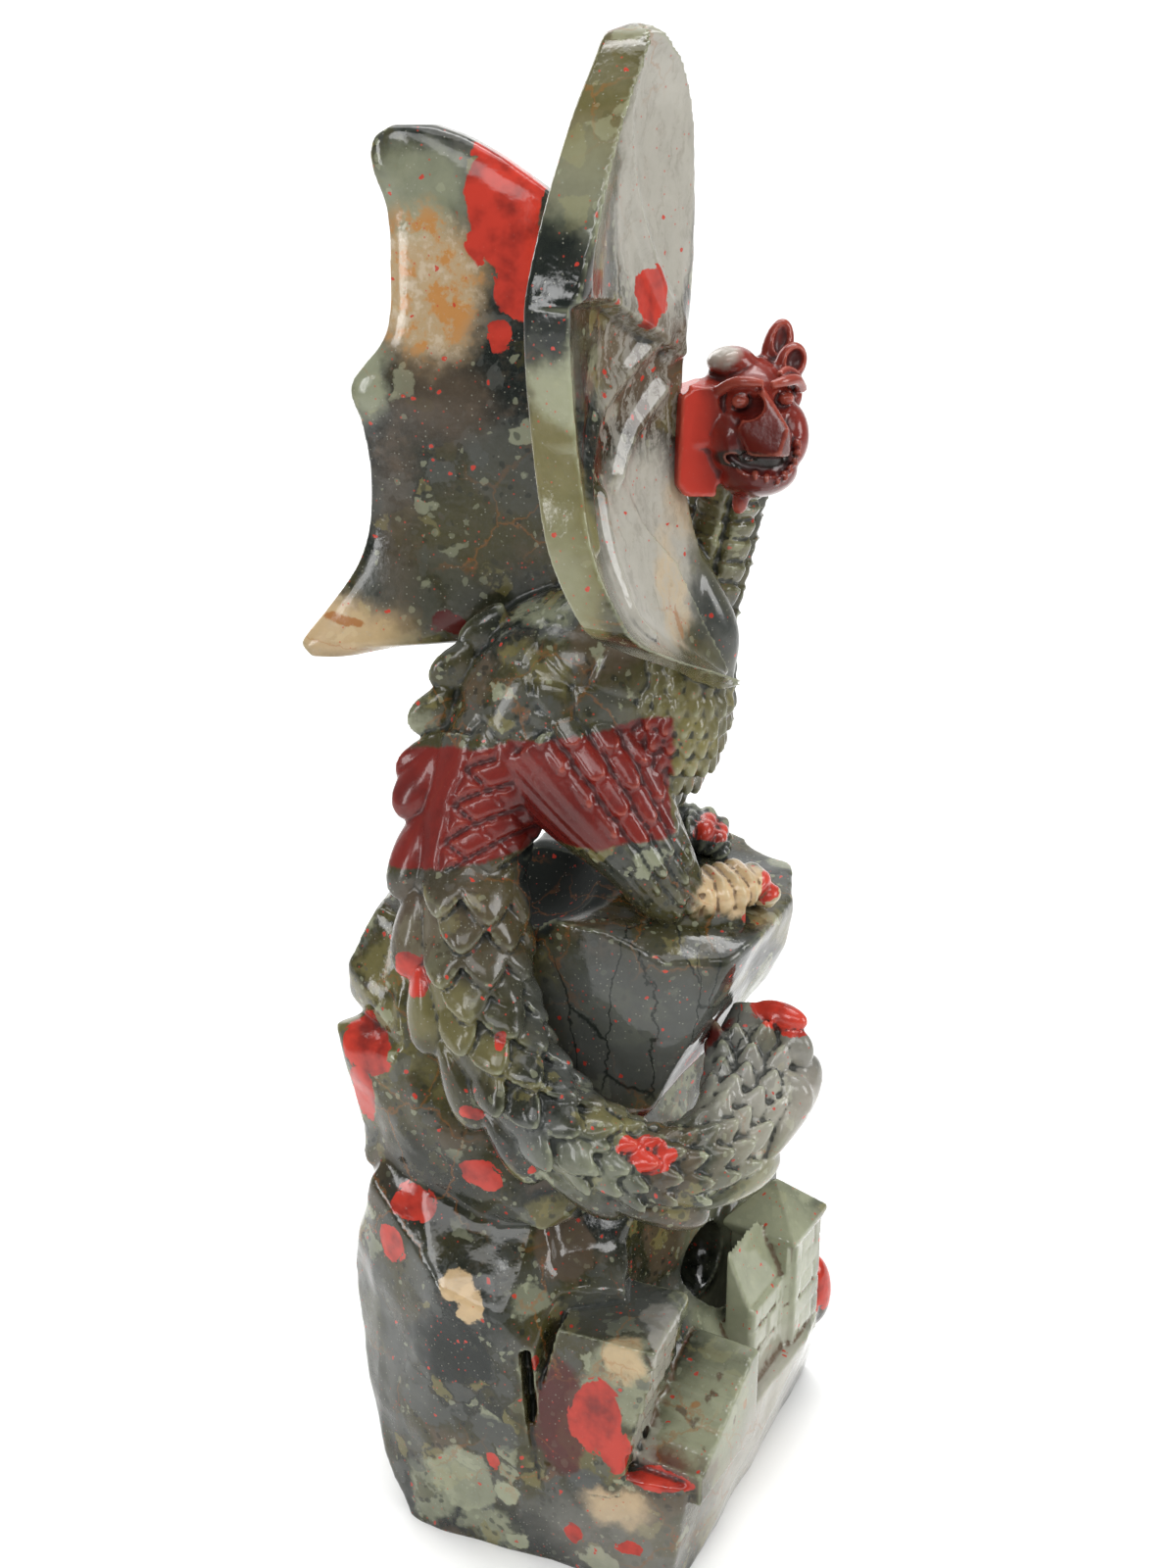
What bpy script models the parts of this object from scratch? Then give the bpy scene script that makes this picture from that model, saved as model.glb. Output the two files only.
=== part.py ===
"""A dragon with raised wings on a cliff above a small walled keep, carved from one block of stone."""

import math

import bmesh
import bpy
from mathutils import Matrix, Vector

# Driving sizes, in metres
ROCK_HEIGHT = 0.082
DRAGON_HEIGHT = 0.093
BASE_WIDTH = 0.059
BASE_DEPTH = 0.058
BASE_TURN = math.radians(-22)
PLINTH_HEIGHT = 0.0156

# The dragon and the cliff are drawn on grids of small squares, a millimetre each at these sizes
DRAGON_SQUARES = 93
ROCK_SQUARES = 82
BASE_SQUARES_WIDE = 59
BASE_SQUARES_DEEP = 58

# Tail: scale rows, and the blunt plates along its outer edge
SCALE_PITCH = 0.0046
SCALE_LIFT = 0.0011
SCALES_AROUND = 9
PLATE_PITCH = 0.0076
PLATE_RISE = 0.0034
PLATE_THICKNESS = 0.0050

# Wings
WING_FRONT_THICKNESS = 0.0034
WING_EDGE_THICKNESS = 0.0054
WING_MEMBRANE_THICKNESS = 0.0030
WING_EDGE_ROUND = 0.12
WING_HOLLOW_FULLNESS = 0.7
WING_BOW = 1.6
RIB_RISE = 0.0012
RIB_WIDTH = 0.0016

# Keep: towers, gatehouse and stair, with heights above the plinth and places in grid squares
KEEP_TURN = math.radians(-30)
BASTION_PLACE = (-5.0, -18.2)
BASTION_LEAN = (0.20, 0.10)
BASTION_WIDTH = 0.0118
BASTION_DEPTH = 0.0125
BASTION_HEIGHT = 0.0180
GATEHOUSE_PLACE = (16.3, -4.0)
GATEHOUSE_DEPTH = 0.0034
GATEHOUSE_WIDTH = 0.0090
GATEHOUSE_HEIGHT = 0.0112
LEAN_TO_RISE = 0.0075
TOWER_PLACE = (19.8, 4.9)
TOWER_WIDTH = 0.0086
TOWER_HEIGHT = 0.0155
REAR_TOWER_PLACE = (14.5, 19.0)
REAR_TOWER_WIDTH = 0.0100
REAR_TOWER_HEIGHT = 0.0200
ROOF_HEIGHT = 0.0062
ROOF_OVERHANG = 0.0009
TURRET_PLACE = (25.6, 11.0)
TURRET_RADIUS = 0.0030
TURRET_HEIGHT = 0.0056
COURSE_HEIGHT = 0.0038
JOINT_WIDTH = 0.0009
BLOCK_PROUD = 0.0007
STAIR_PLACE = (8.8, -18.6)
STEP_COUNT = 6
STEP_RISE = 0.0016
STEP_TREAD = 0.0026
STAIR_WIDTH = 0.0085
FOOTING = 0.0026

# Solid model
STATUE = "dragon_statue"
CUTTERS = "dragon_statue_cutters"
CARVING_GRID = 0.0008
STATUE_TRIANGLES = 9600
UNDERSIDE_TRIM = 0.003
STONE = (0.16, 0.19, 0.16, 1.0)


def dragon_point(x, y, z):
    """A point of the dragon, counted in grid squares from the ledge under its feet."""
    square = DRAGON_HEIGHT / DRAGON_SQUARES
    return Vector((x * square, y * square, ROCK_HEIGHT + z * square))


def dragon_size(squares):
    return squares * DRAGON_HEIGHT / DRAGON_SQUARES


def rock_point(x, y, z):
    """A point of the cliff, counted in grid squares from the middle of the underside."""
    wide = BASE_WIDTH / BASE_SQUARES_WIDE
    deep = BASE_DEPTH / BASE_SQUARES_DEEP
    return Vector((x * wide, y * deep, z * ROCK_HEIGHT / ROCK_SQUARES))


def plinth_point(x, y, above):
    """A point of the keep's ground, counted in grid squares and up from the top of the plinth."""
    return rock_point(x, y, 0) + Vector((0, 0, PLINTH_HEIGHT + above * ROCK_HEIGHT / ROCK_SQUARES))


def catmull_rom(values, count):
    """Vectors spaced along a smooth curve through the given ones."""
    points = [Vector(v) for v in values]
    points = [2 * points[0] - points[1], *points, 2 * points[-1] - points[-2]]
    spans = len(points) - 3
    made = []
    for i in range(count):
        place = spans * i / (count - 1)
        k = min(int(place), spans - 1)
        t = place - k
        a, b, c, d = points[k : k + 4]
        curve = 2 * b + (c - a) * t + (2 * a - 5 * b + 4 * c - d) * t**2 + (3 * b - a - 3 * c + d) * t**3
        made.append(0.5 * curve)
    return made


def collection(name):
    """The scene's collection of that name, made when it is first asked for."""
    made = bpy.data.collections.get(name)
    if made is None:
        made = bpy.data.collections.new(name)
        bpy.context.scene.collection.children.link(made)
    return made


def mesh_object(name, mesh_builder):
    """A new object whose mesh is what mesh_builder puts in an empty BMesh."""
    mesh = bpy.data.meshes.new(name)
    shape = bmesh.new()
    mesh_builder(shape)
    bmesh.ops.recalc_face_normals(shape, faces=shape.faces)
    shape.to_mesh(mesh)
    shape.free()
    made = bpy.data.objects.new(name, mesh)
    collection(STATUE).objects.link(made)
    return made


def loft(name, rings):
    """A closed skin over rings that all have the same number of points."""

    def build(shape):
        rows = [[shape.verts.new(point) for point in ring] for ring in rings]
        around = len(rows[0])
        for row, after in zip(rows, rows[1:]):
            for j in range(around):
                k = (j + 1) % around
                shape.faces.new((row[j], row[k], after[k], after[j]))
        for end in (rows[0], rows[-1]):
            middle = shape.verts.new(sum((v.co for v in end), Vector()) / around)
            for j in range(around):
                shape.faces.new((end[j], end[(j + 1) % around], middle))

    return mesh_object(name, build)


def hull(name, points):
    """The convex solid around the points."""

    def build(shape):
        for point in points:
            shape.verts.new(point)
        made = bmesh.ops.convex_hull(shape, input=shape.verts)
        spare = {v for v in made["geom_interior"] + made["geom_unused"] if isinstance(v, bmesh.types.BMVert)}
        bmesh.ops.delete(shape, geom=list(spare), context="VERTS")

    return mesh_object(name, build)


def ellipsoid(name, centre, radii, turn=None, segments=24):
    placed = Matrix.Translation(centre) @ (turn or Matrix()) @ Matrix.Diagonal((*radii, 1))

    def build(shape):
        bmesh.ops.create_uvsphere(
            shape, u_segments=segments, v_segments=segments // 2, radius=1, matrix=placed
        )

    return mesh_object(name, build)


def block(name, size, placed):
    """A box of the given size, standing on its own origin, moved by a matrix."""
    lifted = placed @ Matrix.Translation((0, 0, size[2] / 2)) @ Matrix.Diagonal((*size, 1))

    def build(shape):
        bmesh.ops.create_cube(shape, size=1, matrix=lifted)

    return mesh_object(name, build)


def tube(name, path, count, around, relief=None):
    """A tube along points (centre, half width, half depth); relief(along, angle) adds to the radius."""
    spine = catmull_rom([centre for centre, _, _ in path], count)
    halves = catmull_rom([(half_width, half_depth, 0) for _, half_width, half_depth in path], count)
    rings, along = [], 0.0
    for i, centre in enumerate(spine):
        tangent = (spine[min(i + 1, count - 1)] - spine[max(i - 1, 0)]).normalized()
        if i:
            along += (centre - spine[i - 1]).length
        first = Vector((0, 1, 0)).cross(tangent).normalized()
        second = tangent.cross(first).normalized()
        ring = []
        for j in range(around):
            angle = 2 * math.pi * j / around
            lift = relief(along, angle) if relief else 0
            ring.append(
                centre
                + first * math.cos(angle) * (halves[i].x + lift)
                + second * math.sin(angle) * (halves[i].y + lift)
            )
        rings.append(ring)
    return loft(name, rings)


def leaf_scales(along, angle, pitch, around, lift):
    """Height of overlapping pointed scales whose tips point along the body."""
    overlap, fullness, keel, root = 1.75, 1.15, 0.45, 0.25
    height, column = 0.0, 2 * math.pi / around
    for back in (0, 1):
        row = math.floor(along / pitch) - back
        travel = (along / pitch - row) / overlap
        shift = (row % 2) * column / 2
        across = ((angle - shift + column / 2) % column - column / 2) / (column / 2)
        if travel < 1 and abs(across) < fullness * math.sqrt(1 - travel**2):
            height = max(height, lift * (root + (1 - root) * travel) * (1 - keel * across**2))
    return height


def crossed_grooves(along, angle, pitch, depth):
    """Depth of shallow grooves cut across the body and slanting over it."""
    steep, shallow, groove_share = 1.1, 0.35, 0.16
    slant = (along / pitch + steep * angle) % 1
    level = (along / pitch - shallow * angle) % 1
    return -depth if min(slant, level) < groove_share else 0.0


# Dragon: centre, half width and half depth of each station, in grid squares
TAIL_STATIONS = (
    ((-14.5, -2, 16), 8.0, 8.5),
    ((-17.2, -6.5, 8), 6.8, 6.8),
    ((-18.0, -11, -1), 6.2, 6.0),
    ((-16.8, -14.5, -9), 5.8, 5.6),
    ((-13.3, -18, -15.5), 5.3, 5.2),
    ((-7.8, -21.5, -21), 4.9, 4.8),
    ((-1.0, -23.5, -24), 4.6, 4.5),
    ((5.6, -23.5, -25.0), 4.7, 4.4),
    ((11.4, -20.0, -23.0), 4.9, 4.0),
    ((14.0, -15.5, -18.8), 5.2, 3.2),
    ((14.6, -12, -14.6), 4.6, 2.4),
    ((14.8, -10, -11.6), 3.0, 1.6),
)
TORSO_STATIONS = (
    ((-16, -1, 10), 6.0, 6.0),
    ((-12, -1, 16), 10.5, 9.5),
    ((-7, 0, 21), 13.0, 11.0),
    ((-1, 0, 26), 11.5, 10.5),
    ((4, 0, 30), 8.5, 8.0),
    ((7, 0, 34), 5.5, 5.5),
)
NECK_STATIONS = (
    ((4.4, 0, 27), 7.0, 6.0),
    ((7.4, 0.5, 33), 4.8, 5.2),
    ((9.3, 1, 39), 4.2, 4.8),
    ((10.4, 0.5, 45), 4.2, 4.6),
    ((11.4, -1.5, 51), 4.6, 5.0),
)
NEAR_SHOULDER_STATIONS = (
    ((4.6, -4.5, 43), 1.4, 2.0),
    ((6.8, -5.5, 37), 2.6, 3.0),
    ((9.0, -5.5, 31.5), 2.9, 3.2),
    ((9.6, -5.0, 26.6), 2.0, 2.4),
)
SPINE_PLATES = ((-16.0, -1.5, 30.5), (-19.4, -2.0, 26.6), (-22.0, -2.5, 21.6), (-23.4, -4.0, 16.2))
NEAR_LEG_STATIONS = (
    ((-7.0, -5, 19), 9.5, 7.5),
    ((-3.6, -9, 14.0), 8.6, 6.0),
    ((0.6, -11, 8.6), 6.2, 5.0),
    ((4.0, -11.5, 4.2), 4.4, 3.8),
    ((6.0, -11, 1.4), 3.4, 3.0),
)
FAR_LEG_STATIONS = (
    ((-4, 6, 20), 9.0, 6.0),
    ((-1, 9, 14), 7.5, 5.0),
    ((2, 10, 8), 5.0, 4.2),
    ((4.5, 10, 4), 3.4, 3.2),
    ((6, 10, 2.2), 2.8, 2.8),
)
NEAR_FOOT = (Vector((4.6, -10.8, -0.8)), Vector((14.6, -7.0, 0.2)))
FAR_FOOT = (Vector((1.0, 9.0, 0)), Vector((10.6, 7.6, 0.6)))
BELLY_STATIONS = (
    ((6.0, -1.5, 33), 4.8, 5.4),
    ((5.4, -2.5, 28), 6.0, 7.4),
    ((4.8, -3.0, 22.5), 6.4, 8.4),
    ((3.4, -3.0, 17.5), 5.8, 7.6),
    ((0.5, -2.5, 13.0), 4.0, 5.6),
)

# Wings: height, then the leading and trailing point in plan, in grid squares
NEAR_WING_LEVELS = (
    (26.5, (9.0, -7.5), (11.2, -9.5)),
    (30.0, (9.0, -6.5), (7.2, -15.5)),
    (33.5, (8.4, -6.0), (2.4, -22.0)),
    (37.0, (7.4, -6.0), (-1.6, -28.0)),
    (40.0, (6.4, -6.0), (-3.6, -30.4)),
    (46.0, (4.8, -6.0), (-6.2, -30.0)),
    (53.0, (3.8, -6.0), (-7.4, -29.2)),
    (61.0, (4.0, -6.0), (-8.2, -29.2)),
    (67.0, (4.6, -6.0), (-8.4, -30.2)),
    (71.0, (4.8, -6.0), (-8.0, -30.2)),
    (78.0, (4.8, -6.5), (-6.2, -29.0)),
    (85.0, (4.4, -8.0), (-3.9, -26.5)),
    (89.5, (3.2, -11.5), (-2.0, -23.5)),
    (91.8, (1.6, -15.4), (-1.0, -21.4)),
    (93.0, (0.7, -17.4), (0.1, -18.9)),
)
FAR_WING_LEVELS = (
    (25.2, (-32.0, 8.0), (-36.6, 8.4)),
    (26.6, (-25.0, 7.4), (-37.6, 8.6)),
    (28.0, (-14.0, 6.0), (-36.8, 8.8)),
    (31.0, (-6.0, 4.5), (-34.2, 9.0)),
    (36.0, (-3.0, 4.0), (-30.6, 9.0)),
    (41.0, (-2.0, 4.0), (-29.0, 8.8)),
    (47.0, (-1.5, 4.0), (-28.7, 8.6)),
    (52.0, (-1.5, 4.0), (-29.4, 8.6)),
    (56.5, (-1.8, 4.2), (-30.4, 8.6)),
    (62.0, (-2.4, 4.6), (-26.4, 8.6)),
    (69.0, (-3.8, 5.0), (-25.6, 8.4)),
    (75.0, (-6.5, 5.6), (-25.8, 8.2)),
    (79.4, (-12.0, 6.4), (-27.2, 8.0)),
    (82.2, (-16.8, 7.0), (-27.0, 7.9)),
    (83.6, (-20.6, 7.4), (-25.0, 7.8)),
)
# Ribs of a wing: share across from the leading edge and height, at both ends
NEAR_WING_RIBS = (
    ((0.10, 56), (1.0, 68.5)),
    ((0.08, 52), (0.98, 39)),
    ((0.06, 50), (0.55, 33)),
    ((0.10, 58), (0.75, 90)),
)
FAR_WING_RIBS = (
    ((0.10, 54), (1.0, 56.5)),
    ((0.08, 50), (1.0, 27)),
    ((0.06, 48), (0.6, 28)),
    ((0.10, 56), (0.85, 80)),
)


def rib_height(ribs, share, height, span):
    """How far the ribs stand proud of the membrane at a place on the wing."""
    best = 0.0
    here = Vector((share * span, dragon_size(height)))
    for (start_share, start_height), (end_share, end_height) in ribs:
        start = Vector((start_share * span, dragon_size(start_height)))
        end = Vector((end_share * span, dragon_size(end_height)))
        run = end - start
        t = max(0.0, min(1.0, (here - start).dot(run) / run.length_squared))
        away = (here - start - run * t).length / RIB_WIDTH
        best = max(best, RIB_RISE * math.exp(-(away**2)))
    return best


def wing(name, levels, ribs, hollow_side, count, across):
    """A wing plate: smooth behind, hollow between its ribs on the side that faces hollow_side."""
    heights = catmull_rom([(z, 0, 0) for z, _, _ in levels], count)
    leads = catmull_rom([(*lead, 0) for _, lead, _ in levels], count)
    trails = catmull_rom([(*trail, 0) for _, _, trail in levels], count)
    rings = []
    for height, lead, trail in zip(heights, leads, trails):
        reach = trail - lead
        span = dragon_size(reach.length)
        normal = Vector((-reach.y, reach.x, 0)).normalized()
        if normal.dot(hollow_side) < 0:
            normal = -normal
        narrow = min(1.0, span / WING_EDGE_THICKNESS)
        hollow, back = [], []
        for j in range(across + 1):
            share = j / across
            edge = WING_FRONT_THICKNESS + (WING_EDGE_THICKNESS - WING_FRONT_THICKNESS) * share**0.5
            half = edge / 2 * narrow
            rounded = 1 - WING_EDGE_ROUND * (2 * share - 1) ** 16
            bowl = math.sin(math.pi * share)
            sunk = max(0.0, edge - WING_MEMBRANE_THICKNESS) * bowl**WING_HOLLOW_FULLNESS
            bow = -dragon_size(WING_BOW) * bowl * min(1.0, span / dragon_size(20))
            rise = min(sunk, rib_height(ribs, share, height.x, span))
            middle = dragon_point(*(lead + reach * share).xy, height.x) + normal * bow
            hollow.append(middle + normal * (half * rounded - sunk + rise))
            back.append(middle - normal * half * rounded)
        rings.append(hollow + back[::-1])
    return loft(name, rings)


# Tail: how far the cross-cut hip runs down it, where the first plate stands, and a plate's side view:
# share of the pitch along the tail, and share of the rise out of it
HIP_END = 13
FIRST_PLATE = 4
PLATE_PROFILE = (
    (-0.85, -0.7),
    (-0.5, 0.25),
    (-0.1, 0.7),
    (0.3, 0.95),
    (0.6, 1.0),
    (0.78, 0.8),
    (0.82, 0.4),
    (0.6, -0.7),
)


def tail():
    """The tail: cross-cut at the hip, then overlapping leaf scales."""

    def relief(along, angle):
        if along < dragon_size(HIP_END):
            return crossed_grooves(along, angle, SCALE_PITCH, SCALE_LIFT / 2)
        return leaf_scales(along, angle, SCALE_PITCH, SCALES_AROUND, SCALE_LIFT)

    stations = [(dragon_point(*c), dragon_size(a), dragon_size(b)) for c, a, b in TAIL_STATIONS]
    return tube("tail", stations, 200, 72, relief)


def tail_plates():
    """Blunt plates that overlap down the outer edge of the tail."""
    spine = catmull_rom([dragon_point(*c) for c, _, _ in TAIL_STATIONS], 240)
    halves = catmull_rom([(dragon_size(a), 0, 0) for _, a, _ in TAIL_STATIONS], 240)
    made, along, due = [], 0.0, dragon_size(FIRST_PLATE)
    for i in range(1, len(spine) - 1):
        along += (spine[i] - spine[i - 1]).length
        if along < due:
            continue
        due += PLATE_PITCH
        tangent = (spine[i + 1] - spine[i - 1]).normalized()
        outward = Vector((0, 1, 0)).cross(tangent).normalized()
        side = tangent.cross(outward)
        edge = spine[i] + outward * halves[i].x
        size = min(1.0, 0.45 + halves[i].x / dragon_size(6))
        points = []
        for t, rise in PLATE_PROFILE:
            half = PLATE_THICKNESS / 2 * (1.2 - 0.7 * max(rise, 0)) * size
            middle = edge + tangent * t * PLATE_PITCH * size + outward * rise * PLATE_RISE * size
            points += [middle + side * half, middle - side * half]
        made.append(hull(f"tail_plate_{len(made)}", points))
    return made


def body():
    """Trunk, neck, belly, legs, feet and the first plates of the crest."""

    def stations(values):
        return [(dragon_point(*c), dragon_size(a), dragon_size(b)) for c, a, b in values]

    def leg_grooves(along, angle):
        return crossed_grooves(along, angle, SCALE_PITCH, SCALE_LIFT / 2)

    def belly_scales(along, angle):
        return leaf_scales(along, angle, SCALE_PITCH * 0.75, 11, SCALE_LIFT)

    def neck_plates(along, angle):
        return SCALE_LIFT * 0.8 * ((along / (SCALE_PITCH * 0.75)) % 1) * (0.4 + 0.6 * abs(math.cos(angle)))

    made = [
        tube("torso", stations(TORSO_STATIONS), 40, 40),
        tube("neck", stations(NECK_STATIONS), 50, 32, neck_plates),
        tube("near_leg", stations(NEAR_LEG_STATIONS), 50, 36, leg_grooves),
        tube("far_leg", stations(FAR_LEG_STATIONS), 50, 36, leg_grooves),
        tube("belly", stations(BELLY_STATIONS), 60, 48, belly_scales),
        tube("near_shoulder", stations(NEAR_SHOULDER_STATIONS), 30, 24),
    ]
    made += foot("near", *NEAR_FOOT) + foot("far", *FAR_FOOT)
    made += spine_plates()
    return made


def spine_plates():
    """The first plates of the crest, from between the wings down to the tail."""
    made = []
    for i, (x, y, z) in enumerate(SPINE_PLATES):
        turn = Matrix.Rotation(math.radians(24), 4, "Y") @ Matrix.Rotation(math.radians(12), 4, "Z")
        radii = (dragon_size(2.6), dragon_size(1.8), dragon_size(3.6))
        made.append(ellipsoid(f"spine_plate_{i}", dragon_point(x, y, z), radii, turn, 16))
    return made


def toe_rings(along, angle):
    """Rounded rings around a toe."""
    return dragon_size(0.45) * abs(math.sin(math.pi * along / dragon_size(1.7)))


def foot(name, heel, toe):
    """Three ringed toes that close over the ledge, and a sole."""
    run = toe - heel
    side = Vector((-run.y, run.x, 0)).normalized()
    made = [
        hull(
            f"{name}_sole",
            [
                dragon_point(*(heel + run * t + side * s + Vector((0, 0, z))))
                for t, half in ((-0.15, 2.2), (0.45, 3.4), (0.75, 3.2))
                for s in (-half, half)
                for z in (-1.5, 2.6)
            ],
        )
    ]
    for i, spread in enumerate((-2.3, 0.0, 2.3)):
        start = heel + run * 0.2 + side * spread * 0.6
        tip = toe + side * spread * 0.9
        path = (
            (start + Vector((0, 0, 2.0)), 1.9, 1.7),
            (start.lerp(toe, 0.5) + side * spread * 0.5 + Vector((0, 0, 2.8)), 1.9, 1.6),
            (tip + Vector((-1.0, 0, 2.6)), 1.8, 1.5),
            (tip + Vector((1.0, 0, 0.2)), 1.2, 1.0),
        )
        stations = [(dragon_point(*centre), dragon_size(a), dragon_size(b)) for centre, a, b in path]
        made.append(tube(f"{name}_toe_{i}", stations, 40, 16, toe_rings))
    return made


# Head: where it sits in the dragon's squares, and which way it looks
HEAD_CENTRE = (12.3, -4.0, 54.5)
HEAD_TURN = math.radians(14)
HEAD_TILT = math.radians(-4)
# Its mane in front view (right, up), and its snout and the cut of its mouth (right, forward, up)
MANE_EDGE = ((-8.2, 3.0), (-8.7, -6.2), (-7.8, -7.4), (-4.4, -7.6), (-4.0, 4.2))
SNOUT_CORNERS = (
    (0, 5.0, 3.6),
    (-2.5, 5.2, -0.6),
    (2.6, 5.2, -0.6),
    (-2.3, 6.6, -3.0),
    (2.4, 6.6, -3.0),
    (0.5, 9.2, -1.4),
    (-1.2, 8.4, -3.2),
    (1.6, 8.6, -3.2),
    (0.2, 7.4, 2.4),
    (0, 2.6, -2.6),
)
MOUTH_SIDE = ((3.4, -3.9), (11.0, -3.3), (11.0, -4.9), (5.0, -4.9))
TOOTH_COUNT = 6


def head():
    """The head, from lumps and cuts placed in squares: right, forward and up from its middle."""
    placed = (
        Matrix.Translation(dragon_point(*HEAD_CENTRE))
        @ Matrix.Rotation(HEAD_TURN, 4, "Z")
        @ Matrix.Rotation(HEAD_TILT, 4, "X")
    )
    square = dragon_size(1)

    def at(right, forward, up):
        return placed @ (Vector((right, -forward, up)) * square)

    def lump(name, centre, radii, tilt=0.0):
        turn = placed.to_3x3().to_4x4() @ Matrix.Rotation(math.radians(tilt), 4, "Y")
        return ellipsoid(name, at(*centre), [r * square for r in radii], turn)

    def ridge(name, points):
        return tube(name, [(at(*p), size * square, size * square) for *p, size in points], 16, 12)

    lumps = [
        lump("skull", (0, -0.6, 1.0), (4.9, 6.4, 5.6)),
        lump("jaw", (0.1, 2.2, -5.3), (4.3, 5.0, 2.7)),
        lump("left_cheek", (-3.2, 2.2, -1.8), (2.2, 3.6, 3.6)),
        lump("right_cheek", (3.5, 2.0, -1.6), (2.2, 3.6, 3.6)),
        hull("mane", [at(r, f, u) for r, u in MANE_EDGE for f in (-4.6, 3.2)]),
        hull("snout", [at(*corner) for corner in SNOUT_CORNERS]),
        ridge("left_brow", ((-4.7, 2.4, 2.6, 0.8), (-3.0, 4.9, 4.2, 1.1), (-0.5, 6.0, 3.7, 1.1))),
        ridge("right_brow", ((4.9, 2.2, 2.8, 0.8), (3.1, 4.8, 4.4, 1.1), (0.5, 6.0, 3.7, 1.1))),
        lump("tall_ear", (3.6, -1.2, 7.0), (1.7, 1.1, 3.2), 14),
        lump("cup_ear", (4.2, 1.4, 5.6), (1.6, 1.3, 2.2), 20),
        lump("low_ear", (5.2, -0.2, 2.2), (0.8, 1.3, 1.5), 6),
        lump("crown", (-2.0, 0.4, 6.0), (2.6, 2.8, 1.7)),
    ]
    skull = join("head", lumps)
    add_remesh(skull, CARVING_GRID / 2)
    cutters = [
        lump("left_socket", (-2.5, 6.0, 2.5), (1.7, 1.8, 1.4)),
        lump("right_socket", (2.7, 5.8, 2.6), (1.6, 1.8, 1.4)),
        hull("mouth", [at(r, f, u) for r in (-3.8, 3.9) for f, u in MOUTH_SIDE]),
        lump("cup_hollow", (4.3, 2.4, 5.8), (0.9, 0.9, 1.4), 20),
        lump("ear_hollow", (3.7, -0.2, 7.8), (0.9, 0.8, 1.9), 14),
    ]
    for cutter in cutters:
        subtract(skull, cutter)
    bake(skull)
    for cutter in cutters:
        bpy.data.objects.remove(cutter)
    parts = [
        skull,
        lump("left_eye", (-2.4, 4.7, 2.4), (1.1, 1.1, 1.0)),
        lump("right_eye", (2.6, 4.5, 2.5), (1.0, 1.1, 1.0)),
    ]
    for i in range(TOOTH_COUNT):
        place = (-2.7 + 1.1 * i, 6.6 - 0.28 * (i - 2.6) ** 2, -4.5)
        parts.append(lump(f"tooth_{i}", place, (0.45, 0.5, 0.85)))
    return parts


def join(name, objects):
    """One object that holds the shapes of all the given ones, in world space."""
    mesh = bpy.data.meshes.new(name)
    shape = bmesh.new()
    for source in objects:
        shape.from_mesh(source.data)
    shape.to_mesh(mesh)
    shape.free()
    for source in objects:
        bpy.data.objects.remove(source)
    made = bpy.data.objects.new(name, mesh)
    collection(STATUE).objects.link(made)
    return made


def add_remesh(target, grid):
    """Melts overlapping shapes into one skin."""
    modifier = target.modifiers.new("melt", "REMESH")
    modifier.mode = "VOXEL"
    modifier.voxel_size = grid
    modifier.adaptivity = 0


def subtract(target, cutter):
    """Cuts one object out of another, and keeps the cutter out of the part."""
    collection(STATUE).objects.unlink(cutter)
    collection(CUTTERS).objects.link(cutter)
    cutter.hide_render = True
    cutter.display_type = "WIRE"
    modifier = target.modifiers.new(f"cut_{cutter.name}", "BOOLEAN")
    modifier.operation = "DIFFERENCE"
    modifier.solver = "EXACT"
    modifier.object = cutter


def bake(target):
    """Replaces the object's mesh by what its modifiers make of it."""
    graph = bpy.context.evaluated_depsgraph_get()
    graph.update()
    mesh = bpy.data.meshes.new_from_object(target.evaluated_get(graph))
    target.modifiers.clear()
    target.data = mesh


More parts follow.
